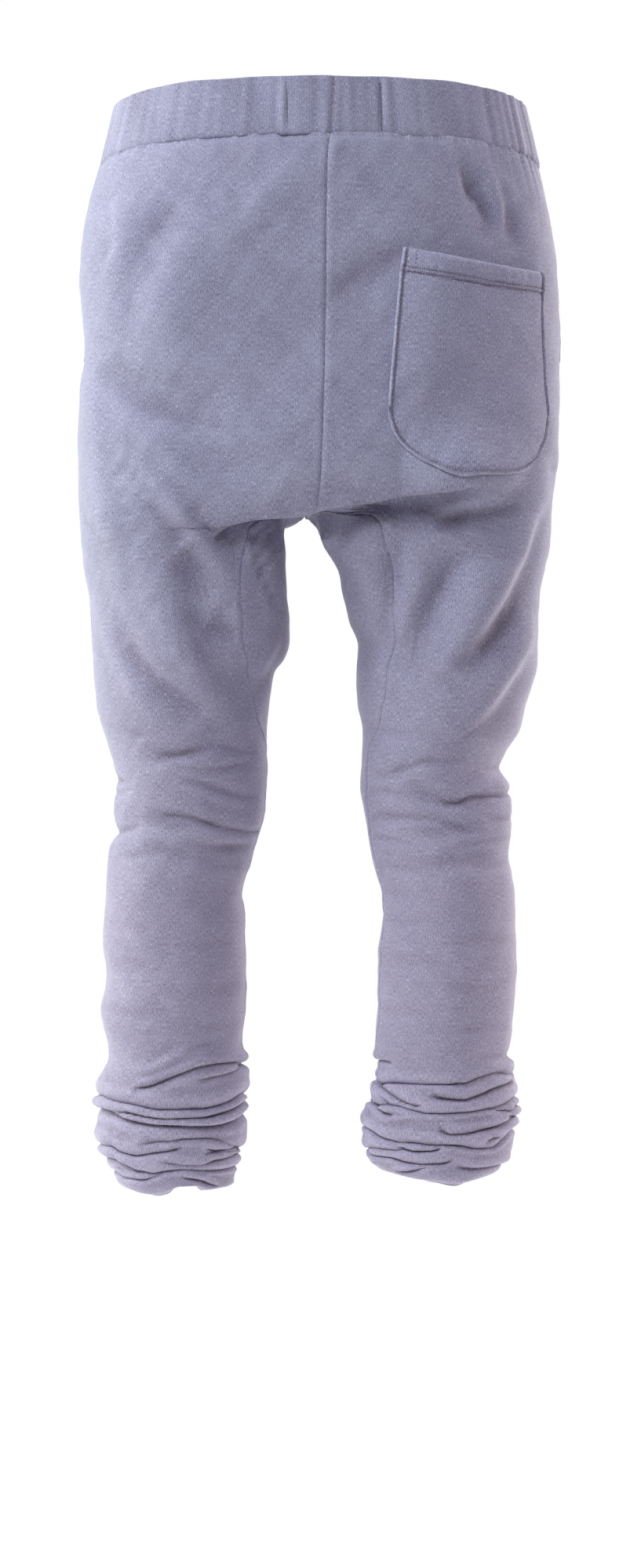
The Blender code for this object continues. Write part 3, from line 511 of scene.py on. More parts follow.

# %% [markdown]
# ## Drape lines of the seat and thighs
# Between the broad folds lie narrower ones: drag lines that fan out from the dropped crotch, the crease
# under the seat, small pleats below the waistband. They are drawn as paths across and up, in
# millimetres. Each has its own height and its own width on either side of the path, because a drag line
# is steep on one side and runs out softly on the other.

# %% Drapes of the seat
Drape = namedtuple("Drape", "height upper lower path")   # millimetres; upper is the side above or outside
SEAT_DRAPES = table(Drape, """
-1.6 5 9  -118 -50 -119 -63 -123 -78 -124 -91 -131 -104
-1.4 6 12  -139 -44 -140 -56 -146 -71 -149 -91 -150 -112
2.3 6 6  -128 -46 -131 -60 -136 -76 -138 -96
1 9 10  -162 -59 -162 -98 -165 -143 -169 -201 -171 -227
-0.7 10 12  93 -50 99 -60 129 -116 152 -187
-0.4 9 9  46 -66 64 -84 81 -98
-0.6 7 9  -30 -48 -42 -66 -60 -78
-0.7 10 16  160 -60 168 -110 172 -170 175 -240 170 -290
-4 26 11  170 -188 158 -202 128 -226 99 -236 64 -244
-1.6 9 8  155 -264 140 -276 117 -291 99 -302
-1.6 10 15  -72 -108 -39 -126 -16 -146 -10 -158
-3.4 30 22  -157 -173 -131 -196 -101 -220 -78 -249
2.5 24 14  -60 -256 -86 -264 -119 -272 -150 -264
1.2 5 5  -116 -67 -122 -82 -129 -96
1.2 4 5  -137 -46 -145 -61 -149 -79
-2.2 7 4  -107 -43 -111 -58 -119 -74
-1.3 6 5  -142 -67 -144 -88 -146 -99
-0.8 9 7  99 -70 120 -88 137 -111 152 -138
0.9 8 8  143 -76 149 -99 158 -123
-0.6 5 6  155 -93 164 -117
0.8 12 12  158 -58 143 -96 128 -130
-0.6 3 3  46 -98 40 -96 34 -96
1.7 16 16  -1 -37 22 -55 58 -85 87 -108
0.8 3 4  -17 -28 -13 -34 -10 -41
3.2 46 24  100 -286 50 -274 0 -268 -50 -256 -90 -252
-2 50 40  110 -176 60 -170 10 -168 -50 -166
1.6 30 30  -60 -215 -90 -200 -120 -190 -150 -180
3.2 26 26  -66 -268 -95 -280 -130 -278 -165 -250
2.2 30 30  60 -70 90 -75 130 -75 160 -80
2.7 30 30  150 -60 150 -100 155 -150 160 -200
3.2 30 30  110 -90 112 -130 118 -170 120 -210
-1.4 30 30  10 -120 20 -160 30 -200 30 -240
-1.8 30 30  -40 -100 -40 -150 -40 -200 -40 -250
-0.9 26 26  -160 -90 -165 -130 -168 -180 -168 -230
-1.8 24 24  120 -240 90 -262 60 -280 30 -292
-0.6 8 8  154 -120 148 -100 140 -84 134 -70
0.7 18 18  -70 -276 -95 -284 -125 -282 -150 -268
-0.9 16 16  -72 -240 -95 -252 -125 -250 -155 -232
-0.9 18 18  40 -250 60 -262 84 -262 104 -252
3.2 42 10  -56 -284 -85 -284 -118 -285 -160 -266""")
print(len(SEAT_DRAPES), "drapes on the seat")

# %% Drapes of the thighs
THIGH_DRAPES_LEFT = table(Drape, """
1.5 12 9  175 -162 176 -204 173 -251 170 -271 163 -301 155 -337 153 -369
1.4 9 8  175 -357 172 -374 163 -397 155 -418 145 -435 132 -452 108 -476
3.6 14 7  147 -266 133 -278 117 -292 95 -318 82 -335 69 -354 63 -364
-2 6 16  141 -289 130 -299 112 -318 100 -334
-3.6 11 13  108 -334 97 -348 88 -361 80 -372
-2.8 10 11  84 -386 74 -394 64 -402
0.8 8 8  68 -374 64 -382 60 -394
-0.8 9 14  134 -318 124 -352 108 -390 92 -424 76 -452
4.3 14 12  118 -366 102 -404 86 -440 68 -466
-3.2 8 12  150 -400 132 -426 108 -448 84 -464
1 2.4 3  56 -312 54 -330 50 -350 43 -372 36 -392
-1.1 3 2.4  52 -313 49 -334 44 -354 36 -376
1.3 2.2 3  48 -312 45 -332 40 -352 33 -374
-0.9 2.4 2.2  44 -312 42 -330 37 -350
1.2 2.2 2.6  41 -312 39 -330 35 -346 30 -360
-1.2 2.4 2.4  37 -312 36 -328 33 -342
1.2 2 2.4  33 -312 32 -326 30 -340
-1.5 6 8  27 -384 27 -404 36 -424 46 -440 50 -452
-3.2 22 22  165 -300 158 -350 148 -400 138 -440
3.1 22 22  130 -300 122 -340 112 -380 100 -420
0.7 20 20  95 -320 88 -350 80 -390 74 -430
2.1 30 24  140 -470 138 -520 138 -580 142 -640
1.4 30 24  100 -470 98 -520 98 -580 98 -640
0.9 14 14  98 -325 96 -355 92 -385
0.8 12 12  116 -325 112 -355 106 -385
0.7 5 5  142 -488 110 -484 80 -482 60 -484
-0.9 12 12  60 -400 58 -430 60 -460 66 -480""")
THIGH_DRAPES_RIGHT = table(Drape, """
1.4 7 8  -92 -308 -106 -302 -122 -298 -140 -297
-3.2 7 8  -84 -316 -100 -312 -118 -306 -138 -303 -152 -300
3.1 10 14  -170 -251 -168 -271 -163 -292 -153 -317 -145 -337 -133 -359 -121 -384 -111 -401 -99 -423
-3.1 8 9  -168 -300 -160 -336 -148 -363 -137 -387 -123 -411 -108 -436
4.2 9 12  -166 -374 -158 -394 -145 -417 -133 -435 -117 -459 -105 -470
-1.1 7 8  -156 -423 -146 -440 -134 -458 -120 -473
-2.2 9 10  -145 -367 -133 -392 -111 -417 -88 -442
-2.5 10 12  -110 -330 -96 -356 -80 -384 -66 -414
0.7 10 10  -88 -330 -74 -360 -62 -392 -54 -424
-1.8 7 8  -60 -318 -56 -344 -50 -372 -46 -400
1.5 4 4  4 -318 -3 -322 -9 -322 -16 -314
-1.2 6 7  -10 -330 -20 -318 -32 -306 -44 -299
-1 7 9  -26 -352 -30 -380 -36 -412 -38 -440
3 20 20  -130 -310 -124 -340 -114 -370 -100 -400
-1.9 16 16  -60 -320 -56 -350 -52 -390 -48 -430
1.4 30 24  -60 -470 -62 -520 -62 -580 -62 -640
0.9 30 24  -95 -470 -97 -520 -98 -580 -96 -640
0.8 30 24  -132 -470 -132 -520 -130 -580 -130 -640
-0.6 12 12  -84 -325 -82 -350 -80 -380
-0.6 9 9  -44 -312 -48 -332 -50 -352 -50 -376
0.6 12 12  -128 -322 -120 -350 -108 -380 -96 -404""")
print(len(THIGH_DRAPES_LEFT), "drapes on the left thigh,", len(THIGH_DRAPES_RIGHT), "on the right")

# %% Drapes of the front
FRONT_DRAPES = table(Drape, """
-2 10 14  120 -128 92 -160 58 -196 26 -226 10 -246
-1.8 10 14  -116 -136 -90 -166 -56 -200 -24 -228 -6 -246
1.8 12 14  136 -168 104 -196 70 -222 36 -246 16 -262
1.6 12 12  -138 -172 -104 -204 -70 -228 -38 -250 -14 -262
-2.2 9 12  150 -208 118 -238 84 -262 50 -280 24 -290
-2.4 9 12  -148 -214 -116 -240 -86 -266 -52 -284 -26 -292
-1.2 8 8  30 -44 44 -72 66 -98
-1.2 8 8  -34 -44 -46 -70 -64 -94
-1.8 12 12  152 -300 128 -330 100 -356 70 -374
-1.8 12 12  -150 -306 -124 -334 -98 -356 -66 -370
1.4 12 14  160 -340 138 -378 110 -412 84 -436
1.4 12 14  -154 -344 -132 -384 -104 -418 -78 -440
-1.4 9 9  140 -420 118 -444 90 -456 60 -458
-1.4 9 9  -136 -420 -112 -444 -86 -456 -52 -460""")
print(len(FRONT_DRAPES), "drapes on the front")

# %% Drape relief
DRAPE_WRAP = 4.0     # narrow folds reach further round the sides than the broad ones
FULLNESS = 2.1       # the cloth is heavy: every drape line of the tables stands this much higher
DRAPE_SPACING = 3 * MM
DRAPE_REACH = 2.6    # in widths
DRAPE_END = 0.03
DRAPE_FADE = 0.7


def smooth_path(points, spacing):
    """Evenly spaced points, in metres, on a smooth curve through a path given in millimetres."""
    points = points * MM
    length = run_length(points)
    at = np.linspace(0, length[-1], max(3, int(length[-1] / spacing)) + 1)
    return np.column_stack([follow(length, points[:, k], at) for k in range(2)])


def drape_relief(grid, normal, drapes, facing):
    """Height of the drape lines at each point of the side that faces +Y or -Y."""
    height = np.zeros(grid.shape[:2])
    toward = np.clip(normal[..., 1] * facing * DRAPE_WRAP, 0, 1)
    for drape in drapes:
        path = smooth_path(drape.path, DRAPE_SPACING)
        widest = DRAPE_REACH * max(drape.upper, drape.lower) * MM
        low, high = path.min(axis=0) - widest, path.max(axis=0) + widest
        near = ((grid[..., 0] > low[0]) & (grid[..., 0] < high[0]) & (grid[..., 2] > low[1])
                & (grid[..., 2] < high[1]) & (toward > 0))
        if not near.any():
            continue
        gap = grid[near][:, None, (0, 2)] - path
        distance = np.linalg.norm(gap, axis=-1)
        nearest = distance.argmin(axis=-1)
        spread = np.ptp(path, axis=0)
        axis = 1 if spread[0] >= spread[1] else 0
        side = gap[np.arange(len(gap)), nearest, axis] * (1.0 if axis == 1 else np.sign(path[:, 0].mean()))
        width = np.where(side > 0, drape.upper, drape.lower) * MM
        fade = np.sin(pi * np.clip(nearest / (len(path) - 1), DRAPE_END, 1 - DRAPE_END)) ** DRAPE_FADE
        strength = drape.height * FULLNESS * MM * fade * toward[near]
        height[near] += strength * bell(distance.min(axis=-1), width)
    return height


for name, grid in grids.items():
    for drapes in (SEAT_DRAPES, THIGH_DRAPES_LEFT, THIGH_DRAPES_RIGHT, FRONT_DRAPES):
        facing = -1.0 if drapes is FRONT_DRAPES else 1.0
        relief[name] += drape_relief(grid, normals[name], drapes, facing)
    print(name, "relief so far", round(float(np.ptp(relief[name])) / MM, 1), "mm")

# %% [markdown]
# ## The seat's lower edge
# The seat is a bag that sags over the tops of the legs. Its lower edge is a fold that hangs over, with the
# legs' cloth coming out from under it. Above the edge the cloth rounds off and is shifted straight down;
# below it the cloth starts far inside and comes out slowly.

# %% Seat edge
Sag = namedtuple("Sag", "depth above below lip path")       # millimetres
SEAT_SAGS = table(Sag, """
10 11 26 5.5  82 -330 76 -321 63 -313 29 -308 10 -307 1 -303 -18 -299 -37 -293 -67 -286 -92 -284 -112 -286
9 7 24 5  -22 -298 -52 -290 -67 -286 -92 -284 -118 -287""")
SAG_SPACING = 1.5    # millimetres
SAG_END = 16.0       # millimetres over which the edge runs out at its ends
SAG_FADE = 0.7
SAG_BACK_Y = 0.02    # only cloth further back than this belongs to the seat
SAG_ROUND = 0.55     # the cloth above the edge rounds off by this share of the depth
SAG_STEP = 2.5 * MM  # and the rest is a step this far below it,
SAG_POWER = 1.6      # which comes out again at this rate
SAG_LIP_PEAK = 0.35  # the hang-over is largest at this share of the upper width


def sag_over(grid, normal, sag):
    """Height and downward shift of one overhanging edge, on the side that faces back."""
    path = smooth_path(sag.path, SAG_SPACING * MM)
    above, below = sag.above * MM, sag.below * MM
    height, drop = np.zeros(grid.shape[:2]), np.zeros(grid.shape[:2])
    toward = np.clip(normal[..., 1] * 2.0 + 0.5, 0, 1)
    near = ((grid[..., 2] > path[:, 1].min() - 2 * below) & (grid[..., 2] < path[:, 1].max() + 2 * above)
            & (toward > 0) & (grid[..., 1] > SAG_BACK_Y))
    gap = grid[near][:, None, (0, 2)] - path
    distance = np.linalg.norm(gap, axis=-1)
    nearest = distance.argmin(axis=-1)
    pick = np.arange(len(nearest))
    up = gap[pick, nearest, 1]
    distance = distance[pick, nearest]
    run = np.minimum(nearest, len(path) - 1 - nearest) * SAG_SPACING
    fade = np.clip(run / SAG_END, 0, 1) ** SAG_FADE * toward[near]
    round_off = np.clip(1 - distance / above, 0, 1)
    above_edge = SAG_ROUND * (1 - np.sqrt(np.clip(1 - round_off ** 2, 0, 1)))
    under_edge = SAG_ROUND + (1 - SAG_ROUND) * np.clip(distance / SAG_STEP, 0, 1)
    under_edge = under_edge * np.clip(1 - distance / below, 0, 1) ** SAG_POWER
    height[near] -= sag.depth * MM * np.where(up > 0, above_edge, under_edge) * fade
    hang = np.clip(up / above, 0, None) / SAG_LIP_PEAK
    drop[near] += sag.lip * MM * hang * np.exp(1 - hang) * fade
    return height, drop


lowered = {name: np.zeros(grid.shape[:2]) for name, grid in grids.items()}
for name, grid in grids.items():
    for sag in SEAT_SAGS:
        height, drop = sag_over(grid, normals[name], sag)
        relief[name] += height
        lowered[name] += drop
    print(name, "hangs down by", round(float(lowered[name].max()) / MM, 1), "mm")

# %% [markdown]
# ## Creases round the lower leg
# At the knees the cloth wrinkles across, and over the ankles it is pushed into a pile of rolls. Such a
# crease runs round the leg, so its path is drawn across the back and then measured as an angle: 0 on
# the outer side, 90 at the back, 180 on the inner side and 270 at the front. It may run on past the sides
# by some degrees, or close into a ring.
#
# A sharp crease is a V with rounded shoulders, and the roll above it swells out and hangs over it. A soft
# one is a plain hollow. The hang-over is a shift straight down, which a normal displacement can't make.

# %% Creases of the left leg
# depth, the widths above and below and the lip are in millimetres; outer and inner are how many degrees
# the crease runs on past its two ends
Crease = namedtuple("Crease", "depth above below lip outer inner path")
RING = 360           # a crease that closes to a ring
LEFT_CREASES = table(Crease, """
# knee
1.6 7 6 0 10 14  125 -493 99 -486 83 -482 58 -486
1.5 4 7 0 0 14  118 -495 92 -500 76 -499 61 -496
1.6 6 5 0 0 20  116 -505 92 -511 76 -516 61 -520
-0.9 5 5 0 0 0  94 -517 80 -520 68 -523
2.6 6 6 0 22 0  156 -507 150 -509 140 -510
1.5 4 5 0 18 0  156 -517 148 -516 134 -512
2.2 7 6 0.8 0 24  122 -534 103 -535 88 -540 74 -545 58 -547
1.6 6 6 0 0 20  110 -553 99 -556 80 -559 63 -559
2 5 6 0 24 0  156 -548 148 -547 134 -543
1.1 7 6 0 0 20  96 -571 82 -574 62 -575
1 6 6 0 12 0  150 -567 138 -566 122 -562
0.9 6 6 0 0 10  98 -523 84 -528 62 -533
0.8 8 6 0 10 0  152 -470 138 -474 120 -472
0.7 7 7 0 0 10  86 -592 70 -596 60 -598
# calf
0.7 8 8 0 20 0  160 -618 140 -622 112 -619
0.6 8 7 0 0 10  112 -634 88 -637 62 -632
0.7 9 8 0 20 0  164 -652 142 -650 108 -655
0.6 8 8 0 0 12  126 -668 96 -671 62 -666
0.9 9 7 0 16 0  164 -684 140 -688 112 -685
0.8 8 7 0 0 12  104 -694 84 -698 62 -697
# soft folds that lead into the pile
1.4 9 7 0 0 0  134 -725 109 -714 84 -710 66 -702
3.6 5 9 0.8 0 24  144 -745 133 -743 109 -734 92 -728 72 -726 58 -726
2.2 4 6 0.5 0 16  96 -739 80 -736 67 -734 58 -729
-1.6 7 5 0 0 0  150 -731 134 -731 116 -722 98 -712 84 -706
# the pile
6 9 4 2.6 360 360  170 -752 159 -755 142 -757 123 -760 91 -760 74 -757 60 -751
4 4 4 1.2 30 20  168 -761 150 -763 132 -766 116 -767 92 -767 74 -764 60 -759
6 4 9 1.6 360 360  168 -763 159 -765 147 -769 132 -771 107 -772 84 -773 67 -771 60 -767
3 12 4 1.2 0 10  140 -788 124 -785 105 -784 85 -784 73 -787 62 -792
5 9 4 2.2 70 0  165 -790 154 -795 142 -797 132 -795 118 -793 106 -791
5 6 3 1.8 0 60  90 -797 86 -795 77 -794 67 -794 60 -794
3.2 5 4 1.4 0 40  124 -801 109 -802 92 -803 82 -801 68 -800 61 -799
5.2 6 4 2 360 360  158 -801 150 -805 140 -809 130 -809 118 -808 107 -807 92 -808 72 -809 62 -809
3.2 5 4 1.4 30 0  158 -813 150 -816 138 -816 128 -813 118 -811
3.6 4 5 1.2 0 0  108 -814 96 -816 86 -821 80 -826""")
print(len(LEFT_CREASES), "creases on the left leg")

# %% Creases of the right leg
RIGHT_CREASES = table(Crease, """
# knee
1.3 7 6 0 0 0  -132 -457 -120 -466 -108 -476 -95 -482
1.7 7 6 0 0 16  -112 -493 -98 -493 -84 -494 -66 -499 -54 -503
-1 6 5 0 8 0  -128 -510 -112 -513 -95 -520
2.4 7 6 0.5 12 0  -148 -517 -138 -520 -117 -521 -106 -526 -93 -527
1.8 6 6 0 8 0  -142 -497 -134 -499 -122 -500
1.9 7 6 0 0 22  -52 -536 -74 -537 -89 -538 -105 -544 -121 -549
1.6 6 5 0 16 0  -100 -559 -114 -558 -127 -555 -144 -553
1.4 5 5 0 0 16  -48 -516 -62 -518 -76 -522
1.3 5 6 0 0 18  -50 -552 -66 -555 -82 -560
1.6 5 5 0 16 0  -148 -537 -136 -538 -122 -536
1 6 6 0 0 12  -52 -573 -70 -576 -88 -577
0.9 6 6 0 12 0  -148 -571 -132 -574 -114 -575
0.9 7 7 0 0 8  -40 -466 -58 -472 -78 -474
0.7 7 7 0 0 10  -50 -592 -64 -596 -80 -598
# calf
0.6 8 8 0 0 12  -46 -612 -70 -616 -96 -613
0.7 8 7 0 18 0  -146 -632 -122 -630 -96 -634
0.6 9 8 0 0 12  -44 -648 -74 -645 -104 -649
0.8 8 8 0 18 0  -148 -664 -124 -668 -92 -665
0.7 8 7 0 0 12  -42 -682 -68 -686 -100 -683
0.9 9 7 0 18 0  -146 -702 -122 -699 -90 -704
# soft folds that lead into the pile
2.6 6 6 0.6 24 0  -50 -740 -72 -741 -95 -741 -110 -741 -122 -737 -137 -734 -148 -736
1.4 6 6 0 16 0  -150 -722 -134 -722 -118 -725
3 4 4 1 0 30  -41 -726 -47 -725 -56 -727
# the pile
4.6 6 3 1.8 0 100  -41 -740 -46 -744 -51 -747 -62 -752 -72 -755 -80 -757
4.2 6 6 0.8 10 0  -84 -750 -95 -752 -110 -753 -120 -751 -135 -746 -147 -743
2.6 5 4 0.6 0 0  -47 -750 -54 -755 -65 -759 -76 -761
6 8 4 2.4 360 360  -39 -755 -48 -757 -60 -758 -72 -761 -81 -763 -95 -763 -115 -762 -132 -760 -150 -755
3 4 4 0.8 40 0  -130 -762 -143 -763 -152 -761
4 4 4 1.2 0 50  -36 -757 -42 -760 -48 -764 -56 -767
-1.2 4 3 0 0 0  -45 -770 -65 -768 -81 -765
4.6 6 4 1.6 60 0  -90 -776 -101 -779 -112 -779 -125 -777 -137 -775 -148 -770
4.2 3 3 1 0 0  -125 -786 -132 -783 -141 -781
6.4 8 4 2.4 360 360  -33 -777 -38 -779 -45 -783 -54 -785 -70 -786 -85 -787 -105 -788 -123 -791 -132 -791 \
    -140 -787 -148 -781
4.6 4 4 0.8 0 0  -56 -787 -65 -790 -73 -792 -83 -792 -95 -791
4.2 6 4 1.6 0 90  -34 -796 -42 -799 -53 -799 -65 -802 -77 -803 -91 -803 -103 -801
3.4 4 4 1.2 0 0  -58 -812 -66 -811 -75 -808 -84 -806
3 6 5 1 40 0  -104 -806 -120 -808 -133 -808""")
print(len(RIGHT_CREASES), "creases on the right leg")

# %% [markdown]
# ## Laying the creases round a leg
# Each point of a leg gets its angle and its height. A crease's drop is then a function of the distance to
# its path, with the sign of that distance telling the roll above from the one below. Folds on the side that
# faces forward are like the ones behind but not the same, so the open creases of the pile are repeated
# there, shifted and a little shallower.

# %% Angles round a leg
PATH_STEP = 1.2 * MM
SOFT_LIMIT = 0.1          # creases with a smaller lip than this are soft hollows
END_FADE = 9.0            # millimetres over which an open crease runs out
SOFT_END_FADE = 24.0      # and a soft hollow
END_POWER = 0.8
RUN_SLOPE = 0.35          # past its last point a crease keeps this share of its slope
FRONT_SHARES = (0.2, 0.5, 0.8)
FRONT_WOBBLE = (2.4, -1.8, 1.4)   # a ring's rise and fall at those shares of the front, in millimetres


class Round:
    """Angle and height coordinates round one leg."""

    def __init__(self, side):
        self.leg = Leg(side)

    def shape(self, z):
        """Middle, half width, centre of the depth and half depth of the leg at the given heights."""
        outer = follow(self.leg.outer["z"], self.leg.outer["x"], z)
        inner = follow(self.leg.inner["z"], self.leg.inner["x"], z)
        back = follow(DEPTH["z"], DEPTH["back"], z)
        front = follow(DEPTH["z"], DEPTH["front"], z)
        return (outer + inner) / 2, np.abs(outer - inner) / 2, (back + front) / 2, (back - front) / 2

    def angle_of(self, x, y, z):
        middle, half, centre, deep = self.shape(z)
        return np.degrees(np.arctan2((y - centre) / deep, (x - middle) / half * self.leg.hand)) % 360

    def angle_on_back(self, x, z):
        middle, half, _, _ = self.shape(z)
        return np.degrees(np.arccos(np.clip((x - middle) / half * self.leg.hand, -1, 1)))

    def path(self, crease):
        """Angles and heights along a crease, and how much of its depth it has there."""
        points = crease.path * MM
        angle = self.angle_on_back(points[:, 0], points[:, 1])
        order = np.argsort(angle)
        angle, z = angle[order], points[order, 1]
        keep = np.concatenate(([True], np.diff(angle) > 0.5))
        angle, z = angle[keep], z[keep]
        if crease.outer == RING:
            share = np.array(FRONT_SHARES)
            wave = np.array(FRONT_WOBBLE) * MM * (1 if round(z[0] / MM) % 2 else -1)
            front = angle[-1] + (360 + angle[0] - angle[-1]) * share
            angle = np.concatenate((angle, front, [360 + angle[0]]))
            z = np.concatenate((z, z[-1] + (z[0] - z[-1]) * share + wave, [z[0]]))
        else:
            if crease.outer:
                angle = np.concatenate(([angle[0] - crease.outer], angle))
                z = np.concatenate(([z[0] + RUN_SLOPE * (z[0] - z[1])], z))
            if crease.inner:
                angle = np.concatenate((angle, [angle[-1] + crease.inner]))
                z = np.concatenate((z, [z[-1] + RUN_SLOPE * (z[-1] - z[-2])]))
        half = float(self.shape(z.mean())[1])
        span = radians(angle[-1] - angle[0]) * half
        at = np.linspace(angle[0], angle[-1], max(6, int(span / PATH_STEP)))
        along = np.radians(at - at[0]) * half / MM
        ends = np.minimum(along, along[-1] - along)
        run_out = END_FADE if crease.lip > SOFT_LIMIT else SOFT_END_FADE
        fade = np.ones(len(at)) if crease.outer == RING else np.clip(ends / run_out, 0, 1) ** END_POWER
        return at, follow(angle, z, at), fade, half


print("the middle of the left knee:", round(float(Round("left").angle_on_back(0.1, -0.53))), "degrees")

# %% One crease
PILE_DEPTH = 1.45         # sharp creases are this much deeper than the table, and their lips
PILE_LIP = 1.45           # this much longer
ROUND_SHARE = 0.6         # how much of a sharp crease's side is a round shoulder; the rest is a point
POINT_POWER = 2.2
ROLL_SWELL = 0.40         # a roll swells by this share of the depth of the crease under it
ROLL_AT = 0.85            # and is fullest at this share of that crease's upper width
TOP_SWELL = 0.18          # it also swells by this share of the depth of the crease above it
TOP_AT = 0.9              # and is fullest at this share of that crease's lower width
ROLL_WIDTH = 0.6
SOFT_FULLNESS = 1.5       # soft hollows are this much deeper than the table
SOFT_WIDTH = 0.62
LIP_PEAK = 0.30           # the hang-over is largest at this share of the upper width


def lay_crease(crease, round_leg, angle, z, height, drop, scale=1.0, shift=0.0, mirrored=False):
    """Adds one crease to the fields height and drop."""
    at, path_z, fade, half = round_leg.path(crease)
    if mirrored:
        at = -at
    path_z = path_z + shift * MM
    above, below = crease.above * MM, crease.below * MM
    near = (z > path_z.min() - 2.2 * below) & (z < path_z.max() + 2.2 * above)
    if not near.any():
        return
    around = np.radians((angle[near][:, None] - at + 180) % 360 - 180) * half
    up = z[near][:, None] - path_z
    distance = np.hypot(around, up)
    nearest = distance.argmin(axis=1)
    pick = np.arange(len(nearest))
    distance = distance[pick, nearest]
    side = up[pick, nearest]
    strength = fade[nearest] * scale
    width = np.where(side > 0, above, below)
    depth = crease.depth * MM
    if crease.lip > SOFT_LIMIT:
        inward = np.clip(1 - distance / width, 0, 1)
        shoulder = 1 - np.sqrt(np.clip(1 - inward ** 2, 0, 1))
        fall = ROUND_SHARE * shoulder + (1 - ROUND_SHARE) * inward ** POINT_POWER
        height[near] -= depth * PILE_DEPTH * strength * fall
        swell = bell(side - ROLL_AT * above, ROLL_WIDTH * above) * (side > 0)
        top_swell = bell(side + TOP_AT * below, ROLL_WIDTH * below) * (side < 0)
        height[near] += depth * strength * (ROLL_SWELL * swell + TOP_SWELL * top_swell)
        hang = np.clip(side / above, 0, None) / LIP_PEAK
        drop[near] += crease.lip * PILE_LIP * MM * strength * hang * np.exp(1 - hang)
    else:
        height[near] -= depth * SOFT_FULLNESS * strength * bell(distance, SOFT_WIDTH * width)


print("the deepest crease:", max(crease.depth for crease in LEFT_CREASES + RIGHT_CREASES), "mm")

# %% All the creases
CREASED_Z = -0.44                              # no crease is laid above this height
FRONT_SHIFT = (2.0, -2.6, 1.2, -1.6, 2.8)      # millimetres; open creases are repeated on the front,
FRONT_DEPTH = 0.85                             # this much shallower
SOFT_FRONT_DEPTH = 0.45                        # and soft hollows this much
for side, creases in (("left", LEFT_CREASES), ("right", RIGHT_CREASES)):
    round_leg = Round(side)
    for face in ("back", "front"):
        name = face + "_" + side
        grid = grids[name]
        low = grid[..., 2] < CREASED_Z
        angle = round_leg.angle_of(grid[low][:, 0], grid[low][:, 1], grid[low][:, 2])
        z = grid[low][:, 2]
        height, drop = np.zeros(len(z)), np.zeros(len(z))
        for number, crease in enumerate(creases):
            lay_crease(crease, round_leg, angle, z, height, drop)
            if crease.outer != RING:
                shift = FRONT_SHIFT[number % len(FRONT_SHIFT)]
                scale = FRONT_DEPTH if crease.lip > SOFT_LIMIT else SOFT_FRONT_DEPTH
                lay_crease(crease, round_leg, angle, z, height, drop, scale, shift, mirrored=True)
        relief[name][low] += height
        lowered[name][low] += drop
        print(name, "deepest crease", round(float(-height.min()) / MM, 1), "mm")

# %% [markdown]
# ## Hems
# The turned hem ends the pile. It rests on what is worn below, so its lower edge rises and falls, it bulges
# a little above that edge and its last few millimetres curl in. The edge is drawn as a line, and the
# cloth above it is moved up or down with it, less and less with height.

# %% Hem relief
HEM_LINES = {
    "left": "166 -806 157 -815 147 -825 129 -831 119 -829 107 -821 97 -821 88 -827 77 -826 64 -813 58 -806",
    "right": "-40 -800 -50 -806 -56 -809 -69 -816 -80 -819 -90 -820 -107 -823 -118 -821 -128 -817 -133 -808 \
        -142 -800"}      # across and up, in millimetres
HEM_REACH = 26.0 * MM       # the hem line's rise and fall dies out over this height
HEM_BULGE = 2.2 * MM        # the turned hem bulges by this much
HEM_BULGE_AT = 9.0 * MM     # at this height above its edge
HEM_BULGE_WIDE = 6.0 * MM
HEM_CURL = 5.0 * MM         # and its edge curls in by this much
HEM_CURL_WIDE = 4.0 * MM
FRONT_WAVE = 3.0 * MM       # in front the edge hangs lower, in waves of this height
FRONT_WAVE_LONG = 9.0 * MM
for name, grid in grids.items():
    face, side = name.split("_")
    line = numbers(HEM_LINES[side], MM)
    base = grid[-1, :, 2]
    wanted = follow(line[::2], line[1::2], grid[-1, :, 0])
    if face == "front":
        middle = np.sin(pi * np.linspace(0, 1, grid.shape[1]))
        wanted = wanted + middle * (FRONT_WAVE * np.sin(grid[-1, :, 0] / FRONT_WAVE_LONG) - FRONT_WAVE)
    above = grid[..., 2] - base
    move = wanted - base
    lowered[name] -= move * np.clip(1 - above / HEM_REACH, 0, 1) ** 2
    relief[name] += HEM_BULGE * bell(above - HEM_BULGE_AT, HEM_BULGE_WIDE)
    relief[name] -= HEM_CURL * bell(above, HEM_CURL_WIDE)
    print(name, "hem moves by", (move.min() / MM).round(1), "to", (move.max() / MM).round(1), "mm")

# %% [markdown]
# ## Seams and gathers
# Two sewn edges turn inwards and are stitched flat, so a seam shows as a narrow groove between two low
# ridges, and the thread draws it up into small puckers. Under the waistband the cloth is eased into the
# elastic, which leaves short upright gathers. All of it is relief on the panels' own points.

# %% Seam relief
SEAM_GROOVE = 0.75 * MM
SEAM_GROOVE_WIDTH = 1.1 * MM
SEAM_RIDGE = 0.34 * MM
SEAM_RIDGE_AT = 4.2 * MM
SEAM_RIDGE_WIDTH = 0.6 * SEAM_RIDGE_AT
PUCKER = 0.28 * MM
PUCKER_REACH = 7.0 * MM
SIDE_SEEDS = {"left": 1.3, "right": 2.9}
CENTRE_SEED = 4.2


def edge_distance(grid):
    """Distance of each point from its row's two ends, along the cloth."""
    step = np.linalg.norm(np.diff(grid, axis=1), axis=2)
    from_side = np.concatenate((np.zeros((len(grid), 1)), np.cumsum(step, axis=1)), axis=1)
    return from_side, from_side[:, -1:] - from_side


def ripple(at, seed):
    """Uneven wave of about one unit in height; at is in metres."""
    at = at / MM
    return (0.5 * np.sin(at / 1.9 + seed) * np.sin(at / 7.3 + 2.1 * seed)
            + 0.35 * np.sin(at / 3.1 + 1.7 * seed) + 0.3 * np.sin(at / 5.3 + 0.6 * seed))


